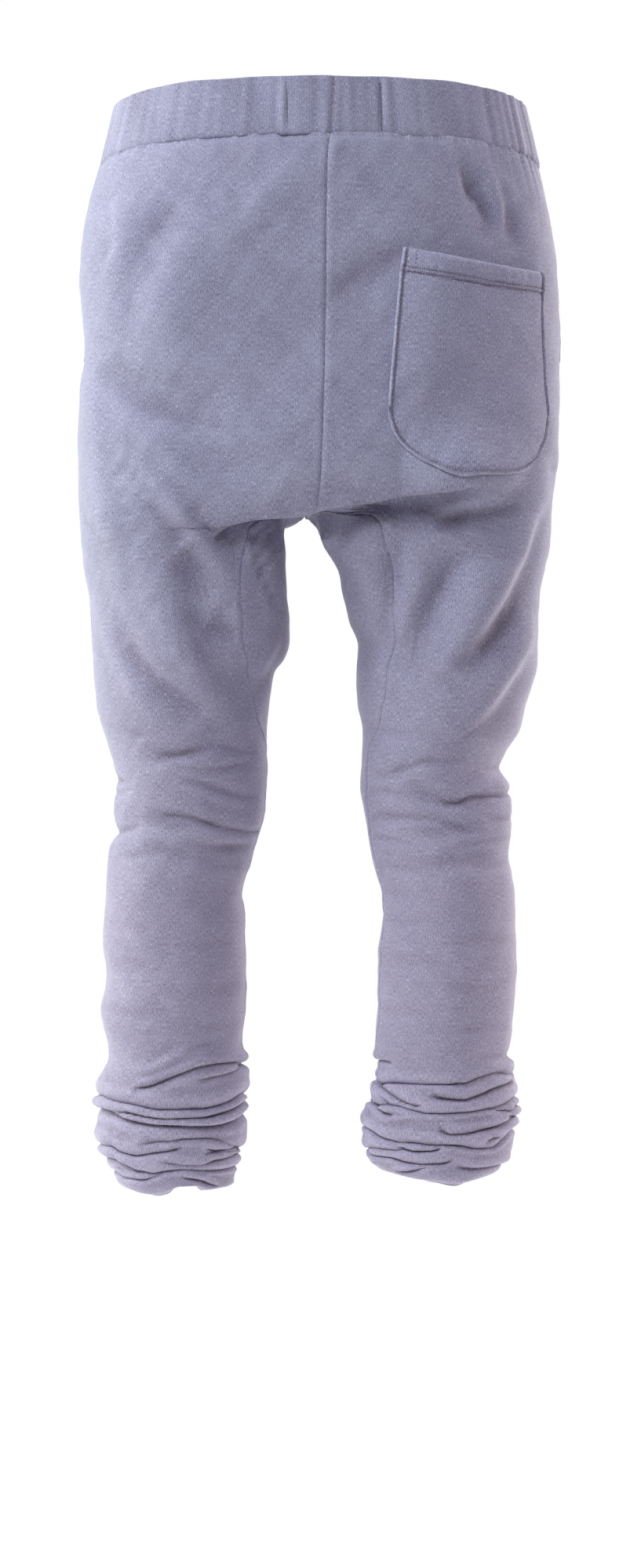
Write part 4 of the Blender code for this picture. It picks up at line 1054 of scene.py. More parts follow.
def seam_relief(distance, along, seed):
    groove = -SEAM_GROOVE * bell(distance, SEAM_GROOVE_WIDTH)
    ridge = SEAM_RIDGE * bell(distance - SEAM_RIDGE_AT, SEAM_RIDGE_WIDTH)
    pucker = PUCKER * ripple(along, seed)[:, None] * bell(distance, PUCKER_REACH)
    return groove + ridge + pucker


for name, grid in grids.items():
    from_side, from_inner = edge_distance(grid)
    side_seam, inner_seam = run_length(grid[:, 0]), run_length(grid[:, -1])
    relief[name] += seam_relief(from_side, side_seam, SIDE_SEEDS[name.split("_")[1]])
    relief[name] += seam_relief(from_inner, inner_seam, CENTRE_SEED)
    print(name, "seams", round(float(side_seam[-1]), 3), "and", round(float(inner_seam[-1]), 3), "m")

# %% Gathers below the waistband
GATHER = 0.55 * MM
GATHER_DEPTH = 14.0 * MM
GATHER_RADIUS = 0.15            # metres round the waist for each radian
GATHERED_AT = 148               # degrees; the gathers are strongest over the wearer's right hip
GATHERED_WIDE = 16
WAIST_TURN_IN = 1.5 * MM        # at the waist seam the cloth turns in under the band
WAIST_TURN_HIGH = 1.6 * MM


def gather_relief(grid):
    """Short upright gathers below the waist seam."""
    angle = np.arctan2(grid[..., 1] / BAND_BACK["seam"], grid[..., 0] / BAND_HALF_WIDTH["seam"])
    around = angle * GATHER_RADIUS
    below = waist_z(grid[..., 0], grid[..., 1]) - grid[..., 2]
    place = bell(np.degrees(angle) - GATHERED_AT, GATHERED_WIDE)
    strength = 0.45 + 0.4 * np.sin(3.3 * angle + 0.7) ** 2 + 1.5 * place
    fade = np.exp(-np.clip(below, 0, None) / (GATHER_DEPTH * (0.7 + 0.8 * place)))
    wave = np.sin(around / (1.45 * MM)) * np.sin(around / (5.1 * MM) + 1.0)
    wave += 0.4 * np.sin(around / (2.3 * MM))
    return GATHER * strength * fade * wave - WAIST_TURN_IN * bell(np.clip(below, 0, None), WAIST_TURN_HIGH)


for name, grid in grids.items():
    gathers = gather_relief(grid)
    relief[name] += gathers
    print(name, "gathers stand", round(float(gathers.max()) / MM, 2), "mm high")

# %% [markdown]
# ## Slack
# Heavy fleece is never quite flat. Slow waves, a few tenths of a millimetre high, break up the smooth
# stretches. A noise texture could displace the mesh; a sum of sines with fixed phases does the same, gives
# the same cloth each time and is equal on both panels at a seam, because it depends on place alone.

# %% Slack relief
# the height and the lengths of each wave are in millimetres
Wave = namedtuple("Wave", "height across deep up phase")
WAVES = (Wave(0.30, 61, 83, 47, 0.4), Wave(0.26, 43, 71, -35, 1.9), Wave(0.20, -29, 53, 31, 3.1),
         Wave(0.12, 17, 37, 23, 5.0), Wave(0.12, -19, 31, 15, 2.2), Wave(0.08, 11, -23, 13, 0.9))
WAVE_STRETCH = 1.7
TUCKED_UP = 3.0 * MM      # the panels run up into the waistband by this much


def slack(grid):
    x, y, z = (grid[..., k] / MM for k in range(3))
    turns = [(x / w.across + y / w.deep + z / w.up) / WAVE_STRETCH for w in WAVES]
    return sum(w.height * MM * np.sin(2 * pi * turn + w.phase) for w, turn in zip(WAVES, turns))


surfaces = {}
for name, grid in grids.items():
    relief[name] += slack(grid)
    surfaces[name] = grid + normals[name] * relief[name][..., None]
    surfaces[name][..., 2] -= lowered[name]
    surfaces[name][0, :, 2] += TUCKED_UP
    print(name, "total relief", round(float(np.ptp(relief[name])) / MM, 1), "mm")

# %% [markdown]
# ## From grids to cloth
# A panel becomes a closed shell: the surface, a copy of it one thickness further in, and a rim between
# them. The copy moves along the base normals and not the creased ones, because those cross each other inside
# a sharp crease. Blender's Solidify would use the creased normals.
#
# The knit must run down the leg as the wales of real cloth do, so each point's UV is its distance from
# a grain line and its length along it, in metres. Two numbers per point go to the material: how deep
# it lies in a hollow, for painted shade there and painted light on raised places, and how far down the
# leg it is, for a warmer tone lower down.

# %% Averages and grain
GRAIN_SHARE = 0.45        # the grain line's place across a panel


def blurred(field, reach):
    """The field averaged over its neighbours, by repeated short steps."""
    for _ in range(reach):
        for axis in (0, 1):
            padded = np.concatenate((field.take([0], axis), field, field.take([-1], axis)), axis)
            count = field.shape[axis]
            field = (padded.take(range(0, count), axis) + 2 * padded.take(range(1, count + 1), axis)
                     + padded.take(range(2, count + 2), axis)) / 4
    return field


def grain_uv(grid):
    """Distance across from the grain line and length down it."""
    across, _ = edge_distance(grid)
    column = int(grid.shape[1] * GRAIN_SHARE)
    down = np.repeat(-run_length(grid[:, column])[:, None], grid.shape[1], axis=1)
    return np.dstack((across - across[:, column:column + 1], down))


print("a step of one unit, averaged once:", blurred(np.repeat([[0.0, 1.0]], 2, axis=0), 1)[0].tolist())

# %% Closed shells
def add_mesh(name, points, faces, uv=None, fields=None):
    """A named object from points and faces; uv and fields are given per point."""
    mesh = bpy.data.meshes.new(name)
    mesh.from_pydata(points.tolist(), [], faces.tolist() if hasattr(faces, "tolist") else faces)
    if uv is not None:
        corners = np.empty(len(mesh.loops), np.int32)
        mesh.loops.foreach_get("vertex_index", corners)
        mesh.uv_layers.new(name="grain").data.foreach_set("uv", uv[corners].astype(np.float32).ravel())
    for key, values in (fields or {}).items():
        field = mesh.attributes.new(key, "FLOAT", "POINT")
        field.data.foreach_set("value", values.astype(np.float32).ravel())
    mesh.shade_smooth()
    thing = bpy.data.objects.new(name, mesh)
    bpy.context.scene.collection.objects.link(thing)
    return thing


def shell_faces(rows, columns, closed=False):
    """Quads of a closed shell on two grids of points, the outer one first."""
    last = columns if closed else columns - 1
    i, j = np.meshgrid(np.arange(rows - 1), np.arange(last), indexing="ij")
    right = (j + 1) % columns
    a, b, c, d = (i * columns + j, i * columns + right, (i + 1) * columns + right, (i + 1) * columns + j)
    outer = np.stack((a, b, c, d), axis=-1).reshape(-1, 4)
    half = rows * columns
    faces = [outer, outer[:, ::-1] + half]

    def rim(line):
        start, end = line[:-1], line[1:]
        return np.stack((end, start, start + half, end + half), axis=1)

    def loop(line):
        return np.concatenate((line, line[:1])) if closed else line

    faces.append(rim(loop(np.arange(columns))))
    faces.append(rim(loop(np.arange(columns) + (rows - 1) * columns)[::-1]))
    if not closed:
        faces.append(rim((np.arange(rows) * columns)[::-1]))
        faces.append(rim(np.arange(rows) * columns + columns - 1))
    return np.concatenate(faces)


def cloth_shell(name, outer, inner, uv, fields, closed=False):
    """A closed shell whose faces point out."""
    rows, columns = outer.shape[:2]
    faces = shell_faces(rows, columns, closed)
    first, second = outer[1, 1] - outer[0, 0], outer[1, 0] - outer[0, 1]
    if np.dot(np.cross(first, second), outer[0, 0] - inner[0, 0]) < 0:
        faces = faces[:, ::-1]
    points = np.vstack((outer.reshape(-1, 3), inner.reshape(-1, 3)))
    both = {key: np.concatenate((values.ravel(), values.ravel())) for key, values in fields.items()}
    return add_mesh(name, points, faces, np.vstack((uv.reshape(-1, 2), uv.reshape(-1, 2))), both)


print("a shell on two grids of 3 by 4 points has", len(shell_faces(3, 4)), "faces")

# %% Cloth panels
CLOTH = 1.6 * MM
# painted shade and painted light: a point's colour is made darker the deeper it lies in a hollow, and a
# little lighter on raised places
LOWERED_SHARE = 0.4       # an overhang counts with this share of its drop when hollows are looked for
SMALL_REACH = 6           # steps of the average that a narrow hollow is measured against
SMALL_DEEP = 2.0 * MM     # a narrow hollow this deep gets the full painted shade
SMALL_LIGHT = -0.12       # how much lighter a raised place may get
PILE_FROM = -0.725        # below this height creases are so deep that little light gets in, so their painted shade grows
PILE_FADE = 20 * MM
PILE_SHADE = 2.6
SEAM_CLEAR = 0.6          # beside a seam the hollows are this much weaker
SEAM_CLEAR_WIDE = 4 * MM
BROAD_REACH = 70          # the same measures for the broad hollows
BROAD_DEEP = 4 * MM
BROAD_LIGHT = -0.5
BROAD_SHARE = 0.15
LOWER_LEG = (-0.30, -0.62)     # the warmer tone comes in between these heights
panels = {}
for name, grid in surfaces.items():
    height = relief[name] - LOWERED_SHARE * lowered[name]
    # painted shade, darker in the hollows, and painted light, a little lighter on raised places
    hollow = np.clip((blurred(height, SMALL_REACH) - height) / SMALL_DEEP, SMALL_LIGHT, 1)
    hollow *= 1 + PILE_SHADE * np.clip((PILE_FROM - grid[..., 2]) / PILE_FADE, 0, 1)
    hollow *= 1 - SEAM_CLEAR * bell(np.minimum(*edge_distance(grids[name])), SEAM_CLEAR_WIDE)
    hollow += BROAD_SHARE * np.clip((blurred(height, BROAD_REACH) - height) / BROAD_DEEP, BROAD_LIGHT, 1)
    # a share from 0 to 1 down the leg, for a warmer tone lower down
    down_the_leg = np.clip((LOWER_LEG[0] - grid[..., 2]) / (LOWER_LEG[0] - LOWER_LEG[1]), 0, 1)
    panels[name] = cloth_shell(name + "_cloth", grid, grid - normals[name] * CLOTH, grain_uv(grids[name]),
                               {"hollow": hollow, "low": down_the_leg})
    print(name, len(panels[name].data.polygons), "faces")

# %% [markdown]
# ## Waistband
# The band is one strip of the same knit, folded along its top edge round a wide elastic and closed at the
# centre back. Its section is a tall loop: up the outside, over the fold, down the inside. Turning that
# loop round the waist gives the ring. A torus would be round and even, but this one is a superellipse
# that leans in to the top, dips at the front and is drawn into small upright waves by the elastic.

# %% Shape of the band
BACK_SEAM_X = -0.0080          # the band's closing seam, at the waist seam
BACK_SEAM_LEAN = -0.0030       # and how much further across it is at the top
TACK_DENTS = ((0.0250, 1.0), (-0.0453, -1.0))     # places across; the cloth bulges on this side of each
BAND_PLEATS_AT = 150           # degrees; the band's waves are strongest over the wearer's right hip
BAND_PLEATS_WIDE = 13


def band_point(angle, level, depth, lift):
    """Points of the band at an angle, a share of its height, a depth into it and a lift above the fold."""
    half_width, back, front = (sizes["seam"] + (sizes["top"] - sizes["seam"]) * level
                               for sizes in (BAND_HALF_WIDTH, BAND_BACK, BAND_FRONT))
    cos, sin = np.cos(angle), np.sin(angle)
    x = np.sign(cos) * np.abs(cos) ** (2 / BAND_ROUND) * (half_width - depth)
    y = np.sign(sin) * np.abs(sin) ** (2 / BAND_ROUND) * (np.where(sin >= 0, back, -front) - depth)
    return np.stack((x, y, waist_z(x, y) + BAND_HIGH * level + lift), axis=-1)


def band_waves(angle, around, level):
    """Upright waves of the gathered band; stronger near the top edge and over the right hip."""
    place = bell(np.degrees(angle) % 360 - BAND_PLEATS_AT, BAND_PLEATS_WIDE)
    strength = 0.16 + 0.10 * np.sin(2.3 * angle + 1.0) ** 2 + 0.55 * place
    wave = (np.sin(around / (1.9 * MM)) * np.sin(around / (8.7 * MM) + 0.7)
            + 0.5 * np.sin(around / (3.3 * MM) + 1.2))
    broad = 0.5 * np.sin(around / (15 * MM) + 0.4) + 0.4 * np.sin(around / (27 * MM) + 2.0)
    lean = np.sin(around / (9.5 * MM) + 2.2 * level + 1.0) * np.sin(around / (43 * MM) + 0.3)
    return (strength * wave + 0.35 * broad * (0.4 + level) + 0.30 * lean) * MM


def closing_seam(x, y, level):
    """Groove of the band's closing seam at the centre back, and the dents of the two tack rows beside it."""
    distance = np.abs(x - BACK_SEAM_X - BACK_SEAM_LEAN * level)
    seam = (SEAM_RIDGE * bell(distance - SEAM_RIDGE_AT, SEAM_RIDGE_WIDTH)
            - SEAM_GROOVE * 0.8 * bell(distance, SEAM_GROOVE_WIDTH))
    tall = np.exp(-((level - 0.55) / 0.42) ** 4)
    for place, bulge in TACK_DENTS:
        off = x - place
        seam = seam + tall * (0.7 * MM * bell(off - bulge * 4.5 * MM, 3.2 * MM)
                              - 0.9 * MM * bell(off, 1.1 * MM))
    return (y > 0) * seam


def band_relief(angle, around, level, base):
    return band_waves(angle, around, level) + closing_seam(base[:, 0], base[:, 1], level)


print("the band's side is at", band_point(0.0, 0.0, 0.0, 0.0).round(4).tolist())

# %% Waistband mesh
BAND_COLUMNS = 720
BAND_THICK = 3.4 * MM
BAND_EDGE = 1.5 * MM           # the sewn lower edge turns in by this much
BAND_EDGE_HIGH = 2.2 * MM
BAND_ROWS_UP = 22
BAND_ROWS_FOLD = 7
BAND_HOLLOW = 1.2 * MM         # a hollow this deep gets the full painted shade


def band_rows():
    """Level, depth and lift of the outer and inner rows, up to the fold and over it, and the length up."""
    radius = BAND_THICK / 2
    high = BAND_HIGH - radius
    outer, inner, length = [], [], []
    for level in np.linspace(0, 1, BAND_ROWS_UP):
        up = level * high
        outer.append((up / BAND_HIGH, BAND_EDGE * bell(up, BAND_EDGE_HIGH), 0.0))
        inner.append((up / BAND_HIGH, BAND_THICK, 0.0))
        length.append(up)
    for step in range(1, BAND_ROWS_FOLD + 1):
        turn = pi / 2 * step / BAND_ROWS_FOLD
        outer.append((high / BAND_HIGH, radius - radius * np.cos(turn), radius * np.sin(turn)))
        inner.append((high / BAND_HIGH, radius + radius * np.cos(turn), radius * np.sin(turn)))
        length.append(high + radius * turn)
    return outer, inner, np.array(length)


def waistband():
    """The ring's outer half runs up to the fold and its inner half down again."""
    # spaced evenly round the ring, so that the knit keeps its scale
    turns = np.linspace(0, 2 * pi, 4001)
    length = run_length(band_point(turns, 0.5, 0.0, 0.0))
    around = np.linspace(0, length[-1], BAND_COLUMNS + 1)[:-1]
    angle = np.interp(around, length, turns)
    outer, inner, up = band_rows()
    rings = []
    for rows in (outer, inner):
        ring = []
        for level, depth, lift in rows:
            waves = band_relief(angle, around, level, band_point(angle, level, 0.0, 0.0))
            top_wave = 0.5 * MM * np.sin(around / (11 * MM)) * np.sin(around / (31 * MM) + 0.5) * level ** 3
            ring.append(band_point(angle, level, depth - waves, lift + top_wave))
        rings.append(np.array(ring))
    middle = band_point(angle, 0.5, 0.0, 0.0)
    # painted shade in the band's hollows and painted light on its raised waves
    hollow = np.array([np.clip(-band_relief(angle, around, level, middle) / BAND_HOLLOW, -1, 1)
                       for level, _, _ in outer])
    return cloth_shell("waistband_cloth", rings[0], rings[1], np.dstack(np.meshgrid(around, up)),
                       {"hollow": hollow, "low": np.zeros(hollow.shape)}, closed=True)


band = waistband()
print("waistband", len(band.data.polygons), "faces")

# %% [markdown]
# ## Places on a panel
# A pocket is sewn to a panel, so it is drawn flat, by distance out from the centre seam and down from the
# waist, and then carried onto the finished, folded panel. This is what a UV map does in reverse. The
# Shrinkwrap modifier would also lay cloth on cloth, but it loses the distances along the surface.

# %% Chart of a panel
class Chart:
    """Places on a panel by distance in from one seam and down from the waist."""

    def __init__(self, name, from_inner):
        order = slice(None, None, -1 if from_inner else 1)
        self.surface = surfaces[name][:, order]
        self.normal = normals[name][:, order]
        base = grids[name][:, order]
        self.across, _ = edge_distance(base)
        self.down = run_length(base[:, 0])

    def place(self, out, below):
        """Points and normals at arrays of distances, as two arrays of vectors."""
        row = np.interp(below, self.down, np.arange(len(self.down)))
        i = np.minimum(row.astype(int), len(self.down) - 2)
        found = []
        for k in (i, i + 1):
            column = np.array([np.interp(o, self.across[r], np.arange(self.across.shape[1]))
                               for o, r in zip(out.ravel(), k.ravel())]).reshape(out.shape)
            j = np.minimum(column.astype(int), self.across.shape[1] - 2)
            t = (column - j)[..., None]
            found.append([field[k, j] * (1 - t) + field[k, j + 1] * t
                          for field in (self.surface, self.normal)])
        share = (row - i)[..., None]
        point = found[0][0] * (1 - share) + found[1][0] * share
        normal = found[0][1] * (1 - share) + found[1][1] * share
        return point, normal / np.linalg.norm(normal, axis=-1)[..., None]


back_chart = Chart("back_right", from_inner=True)
spot, _ = back_chart.place(np.array([0.12]), np.array([0.15]))
print("120 mm out and 150 mm down on the right back panel:", spot.round(4).tolist())

# %% [markdown]
# ## Patch pocket
# One piece of knit with a rounded bottom. Its mouth has an 18 mm hem held by two rows of stitches, and its
# edge is turned under and stitched 3 mm in. The turned edge is the thickest place, the stitching pulls it
# down, and the middle bags out: three simple profiles, added to the distance from the panel. The mouth
# stands off the seat, so one can see into it a little.

# %% Outline of the pocket
POCKET_TOP_INNER = (0.0580, 0.0840)
POCKET_TOP_OUTER = (0.1780, 0.0930)
POCKET_TOP_SAG = 0.005
POCKET_DEPTH_INNER = 0.121
POCKET_DEPTH_OUTER = 0.112
POCKET_DROP = 0.053
POCKET_SPREAD = 0.010
POCKET_ROUND = 2.15
POCKET_COLUMNS = 96
POCKET_ROWS = 124


def pocket_deep(share):
    """Length of the pocket from its mouth to its bottom, at a share across it."""
    straight = POCKET_DEPTH_INNER + (POCKET_DEPTH_OUTER - POCKET_DEPTH_INNER) * share
    swell = np.clip(1 - np.abs(2 * share - 1) ** POCKET_ROUND, 0, None) ** (1 / POCKET_ROUND)
    return straight + POCKET_DROP * swell


def pocket_spot(share, level):
    """Place on the panel chart of a share across the pocket and a level down it."""
    out = POCKET_TOP_INNER[0] + (POCKET_TOP_OUTER[0] - POCKET_TOP_INNER[0]) * share
    out = out + POCKET_SPREAD * (2 * share - 1) * level ** 0.8
    top = POCKET_TOP_INNER[1] + (POCKET_TOP_OUTER[1] - POCKET_TOP_INNER[1]) * share
    top = top + POCKET_TOP_SAG * np.sin(pi * share) * (1 - level)
    return out, top + level * pocket_deep(share)


def edge_share(count):
    """Shares from 0 to 1 that crowd towards both ends."""
    t = np.linspace(0, 1, count + 1)
    return (1 - np.cos(pi * t)) / 2 * 0.75 + t * 0.25


def outline_distance(flat, points):
    """Distance of points from the sewn edge of the pocket: its two sides and its bottom."""
    edge = np.concatenate((flat[:, 0], flat[-1], flat[::-1, -1]))
    gaps = points.reshape(-1, 1, 2) - edge[None]
    return np.sqrt((gaps ** 2).sum(-1).min(axis=1)).reshape(points.shape[:-1])


share, level = np.meshgrid(edge_share(POCKET_COLUMNS), np.linspace(0, 1, POCKET_ROWS + 1))
out, below = pocket_spot(share, level)
flat = np.dstack((out, below))
sewn = outline_distance(flat, flat)
print("the pocket's middle is", round(float(sewn.max()) / MM), "mm from its sewn edge")

# %% Patch pocket mesh
POCKET_CLOTH = 1.8 * MM
POCKET_LIE = 0.45 * MM         # gap to the seat at the sewn edge
POCKET_BAG = 3.2 * MM          # the middle stands off by this much more
POCKET_GAPE = 3.6 * MM         # and the mouth by this much
HEM_ROWS = (15.2 * MM, 18.5 * MM)     # the two rows of stitches that hold the mouth's hem
EDGE_STITCH_IN = 3.2 * MM
EDGE_ROLL = 1.2 * MM
STITCH_PULL = 0.6 * MM

mouth = below - below[0]
bag = POCKET_BAG * smooth_step(np.clip(sewn / (34 * MM), 0, 1))
gape = (POCKET_GAPE * np.sin(pi * share) ** 0.7 * np.exp(-(mouth / (26 * MM)) ** 1.6)
        * (0.75 + 0.4 * np.sin(5.2 * share + 0.4)))
roll = EDGE_ROLL * bell(sewn - 1.3 * MM, 1.2 * MM)
pull = STITCH_PULL * bell(sewn - EDGE_STITCH_IN, 1.1 * MM)
row_pull = sum(0.8 * MM * bell(mouth - deep, 0.9 * MM) for deep in HEM_ROWS)
hem_fold = 1.5 * MM * (mouth < HEM_ROWS[1]) * (1 - bell(mouth, 1.6 * MM))
hem_fold = hem_fold + 0.9 * MM * bell(mouth - 7 * MM, 5 * MM)
gathers = 0.5 * MM * np.sin(out / (1.7 * MM)) * np.sin(out / (6.1 * MM) + 1.1)
gathers = gathers * (bell(mouth, 17 * MM) * (0.25 + 0.9 * bell(share - 0.72, 0.2)))
bottom_ripple = 0.45 * MM * ripple(out + 0.6 * below, 2.2) * bell(sewn, 9 * MM)
lift = POCKET_LIE + bag + gape + roll - pull - row_pull + hem_fold + gathers + bottom_ripple
point, pocket_up = back_chart.place(out, below)
inside = point + pocket_up * np.maximum(lift, 0.15 * MM)[..., None]
thick = POCKET_CLOTH * (0.35 + 0.65 * np.clip(sewn / (0.9 * MM), 0, 1))
pocket_face = inside + pocket_up * thick[..., None]
# painted shade where the stitches pull the cloth down, and painted light on the rolled edge
pocket_shading = np.clip((pull + row_pull) / STITCH_PULL, 0, 1) - 0.5 * np.clip(roll / EDGE_ROLL, 0, 1)
pocket = cloth_shell("back_pocket_cloth", pocket_face, inside, np.dstack((-out, -below)),
                     {"hollow": pocket_shading, "low": np.zeros(pocket_shading.shape)})
pocket_share = share[0]
print("pocket", np.ptp(pocket_face, axis=(0, 1)).round(3).tolist(), "m")

# %% [markdown]
# ## Hip pocket mouths
# A slanted pocket in each side seam shows only as the bound edge of its mouth. It is a narrow strip that
# rounds over its open edge. Both sides are made by one loop, from the same sizes.

# %% Hip pocket mouths
MOUTH_TOP = (0.046, 0.010)
MOUTH_END = (0.006, 0.150)
MOUTH_WIDTH = 0.016
MOUTH_BOW = 0.006
MOUTH_ROWS = 90
MOUTH_COLUMNS = 14


def mouth_spot(level, inset):
    """Place on the front panel's chart, at a level down the mouth and an inset from its open edge."""
    out = MOUTH_TOP[0] + (MOUTH_END[0] - MOUTH_TOP[0]) * level + MOUTH_BOW * np.sin(pi * level) + inset
    return out, MOUTH_TOP[1] + (MOUTH_END[1] - MOUTH_TOP[1]) * level


mouths = {}
for side in ("left", "right"):
    chart = Chart("front_" + side, from_inner=False)
    across, level = np.meshgrid(np.linspace(0, 1, MOUTH_COLUMNS + 1), np.linspace(0, 1, MOUTH_ROWS + 1))
    inset = MOUTH_WIDTH * across
    out, below = mouth_spot(level, inset)
    point, normal = chart.place(out, below)
    open_edge = 1.4 * MM * bell(inset, 2.5 * MM) * np.sin(pi * level) ** 0.5
    stitch = bell(inset - 6 * MM, 1.0 * MM)
    lift = 0.4 * MM + open_edge - 0.5 * MM * stitch + 0.25 * MM * ripple(below, 1.1) * np.sin(pi * across)
    inside = point + normal * np.maximum(lift, 0.1 * MM)[..., None]
    outside = inside + normal * (POCKET_CLOTH * (0.4 + 0.6 * np.sin(pi * across) ** 0.4))[..., None]
    # the stitch row's dent is painted darker, as painted shade
    mouths[side] = cloth_shell("hip_pocket_" + side + "_cloth", outside, inside, np.dstack((out, -below)),
                               {"hollow": stitch, "low": np.zeros(out.shape)})
    print("hip pocket mouth", side, len(mouths[side].data.polygons), "faces")

# %% [markdown]
# ## Stitches
# A sewing machine lays a thread on the cloth, pulls it down at every needle hole and comes up again 3 mm
# further on. So a row of stitches is a row of short beads, sunk at both ends, with gaps between them. A
# texture could draw them, but real beads catch the light. All the beads of one seam are one mesh.

# %% Stitch beads
STITCH_LONG = 2.3 * MM
STITCH_PITCH = 3.0 * MM
THREAD = 0.30 * MM              # radius
# the rings of a bead: place along it, size and rise
BEAD_RINGS = ((-1.0, 0.25, -0.5), (-0.6, 0.9, 0.1), (0.0, 1.0, 0.35), (0.6, 0.9, 0.1), (1.0, 0.25, -0.5))
BEAD_SIDES = 6
BEAD_SLANT = 0.07


def stitch_row(points, ups, pitch=STITCH_PITCH, length=STITCH_LONG, thread=THREAD):
    """Vertices and faces of the beads along a path that lies on cloth with those normals."""
    run = run_length(points)
    rings, faces = [], []
    for number, centre in enumerate(np.arange(pitch / 2, run[-1], pitch)):
        ends = np.clip((centre - length / 2, centre + length / 2, centre), 0, run[-1])
        tail, head, middle = np.stack([np.interp(ends, run, points[:, k]) for k in range(3)], axis=-1)
        up = np.array([np.interp(centre, run, ups[:, k]) for k in range(3)])
        along = (head - tail) / max(np.linalg.norm(head - tail), 1e-9)
        up = up - along * np.dot(up, along)
        up /= np.linalg.norm(up)
        across = np.cross(along, up)
        along = along + across * BEAD_SLANT * np.sin(2.4 * number)
        turn = np.arange(BEAD_SIDES)[:, None] * 2 * pi / BEAD_SIDES
        first = len(rings) * BEAD_SIDES
        for place, size, rise in BEAD_RINGS:
            rings.append(middle + along * place * length / 2 + up * (rise * thread)
                         + thread * size * (np.cos(turn) * across + np.sin(turn) * up))
        for k in range(BEAD_SIDES * (len(BEAD_RINGS) - 1)):
            a = first + k
            b = first + k - k % BEAD_SIDES + (k + 1) % BEAD_SIDES
            faces.append((a, b, b + BEAD_SIDES, a + BEAD_SIDES))
        last = first + (len(BEAD_RINGS) - 1) * BEAD_SIDES
        faces.append(tuple(range(first, first + BEAD_SIDES))[::-1])
        faces.append(tuple(range(last, last + BEAD_SIDES)))
    return np.vstack(rings), faces


def sew(name, rows):
    """One mesh of all the rows of a seam; a row is (points, normals) or that with its own sizes."""
    vertices, faces, count = [], [], 0
    for row in rows:
        beads, quads = stitch_row(*row)
        vertices.append(beads)
        faces += [tuple(corner + count for corner in face) for face in quads]
        count += len(beads)
    print(name, "has", len(faces), "faces")
    return add_mesh(name, np.vstack(vertices), faces)


print("a bead has", len(BEAD_RINGS), "rings of", BEAD_SIDES)

# %% Rows on the pocket
EDGE_ROW_PLACES = 150
HEM_ROW_PLACES = 120
BAR_ROW_PLACES = 30
BAR_ROWS = ((0.030, 0.15), (0.080, 0.12), (0.968, 0.15))     # upright rows at the mouth: share across, level


def on_pocket(shares, levels):
    """Points and normals on the pocket's outer face."""
    rows = np.clip(levels, 0, 1) * POCKET_ROWS
    columns = np.interp(shares, pocket_share, np.arange(POCKET_COLUMNS + 1))
    i = np.minimum(rows.astype(int), POCKET_ROWS - 1)
    j = np.minimum(columns.astype(int), POCKET_COLUMNS - 1)
    s, t = (rows - i)[:, None], (columns - j)[:, None]
    face, up = [(field[i, j] * (1 - s) * (1 - t) + field[i + 1, j] * s * (1 - t)
                 + field[i, j + 1] * (1 - s) * t + field[i + 1, j + 1] * s * t)
                for field in (pocket_face, pocket_up)]
    return face, up


# the edge row: out from near the mouth's middle in every direction, to one margin from the edge
edge_row = []
for direction in np.radians(np.linspace(-4, 184, EDGE_ROW_PLACES)):
    reach = np.linspace(0, 1.5, 300)
    shares = np.clip(0.5 + 0.5 * reach * np.cos(direction), 0, 1)
    levels = np.clip(0.08 + reach * np.sin(direction), 0, 1)
    spots = np.stack(pocket_spot(shares, levels), axis=-1)
    stop = np.argmin(outline_distance(flat, spots) > EDGE_STITCH_IN)
    edge_row.append((shares[stop], levels[stop]))
pocket_rows = [on_pocket(*np.array(edge_row).T)]
shares = np.linspace(0.035, 0.965, HEM_ROW_PLACES)
for deep in HEM_ROWS:
    pocket_rows.append(on_pocket(shares, deep / pocket_deep(shares)))
for at, end in BAR_ROWS:
    pocket_rows.append(on_pocket(np.full(BAR_ROW_PLACES, at), np.linspace(0.004, end, BAR_ROW_PLACES)))
pocket_stitches = sew("back_pocket_stitches", pocket_rows)

# %% [markdown]
# ## Tack rows and hip pocket rows
# Two short upright rows on the back of the band once held a label; it is left off, and the rows stay, as a
# dent with its thread. The hip pocket mouths are topstitched along their inner edge.

# %% Tack rows
Tack = namedtuple("Tack", "top_x low_x low_level top_level thread")      # thread radius in millimetres
TACKS = (Tack(0.0257, 0.0242, 0.16, 0.88, 0.24), Tack(-0.0447, -0.0459, 0.10, 0.90, 0.42))
TACK_PITCH = 2.2 * MM
TACK_LONG = 2.0 * MM
TACK_SINKS = 0.05 * MM
tack_rows = []
for tack in TACKS:
    row = []
    for level in np.linspace(tack.top_level, tack.low_level, 24):
        x = np.interp(level, (tack.low_level, tack.top_level), (tack.low_x, tack.top_x))
        angles = np.linspace(pi * 0.25, pi * 0.75, 400)
        ring = band_point(angles, level, 0.0, 0.0)
        angle = float(np.interp(-x, -ring[:, 0], angles))
        row.append(band_point(np.array([angle]), level, -TACK_SINKS, 0.0)[0])
    ups = np.tile((0.0, 1.0, 0.0), (len(row), 1))
    tack_rows.append((np.array(row), ups, TACK_PITCH, TACK_LONG, tack.thread * MM))
band_stitches = sew("waistband_stitches", tack_rows)

# %% Hip pocket rows
MOUTH_ROW_INSETS = (6.0 * MM, 9.0 * MM)
MOUTH_ROW_LIFT = 0.5 * MM
mouth_stitches = {}
for side in ("left", "right"):
    chart = Chart("front_" + side, from_inner=False)
    rows = []
    for inset in MOUTH_ROW_INSETS:
        point, up = chart.place(*mouth_spot(np.linspace(0.03, 0.97, 110), inset))
        rows.append((point + up * (MOUTH_ROW_LIFT + POCKET_CLOTH), up))
    mouth_stitches[side] = sew("hip_pocket_" + side + "_stitches", rows)

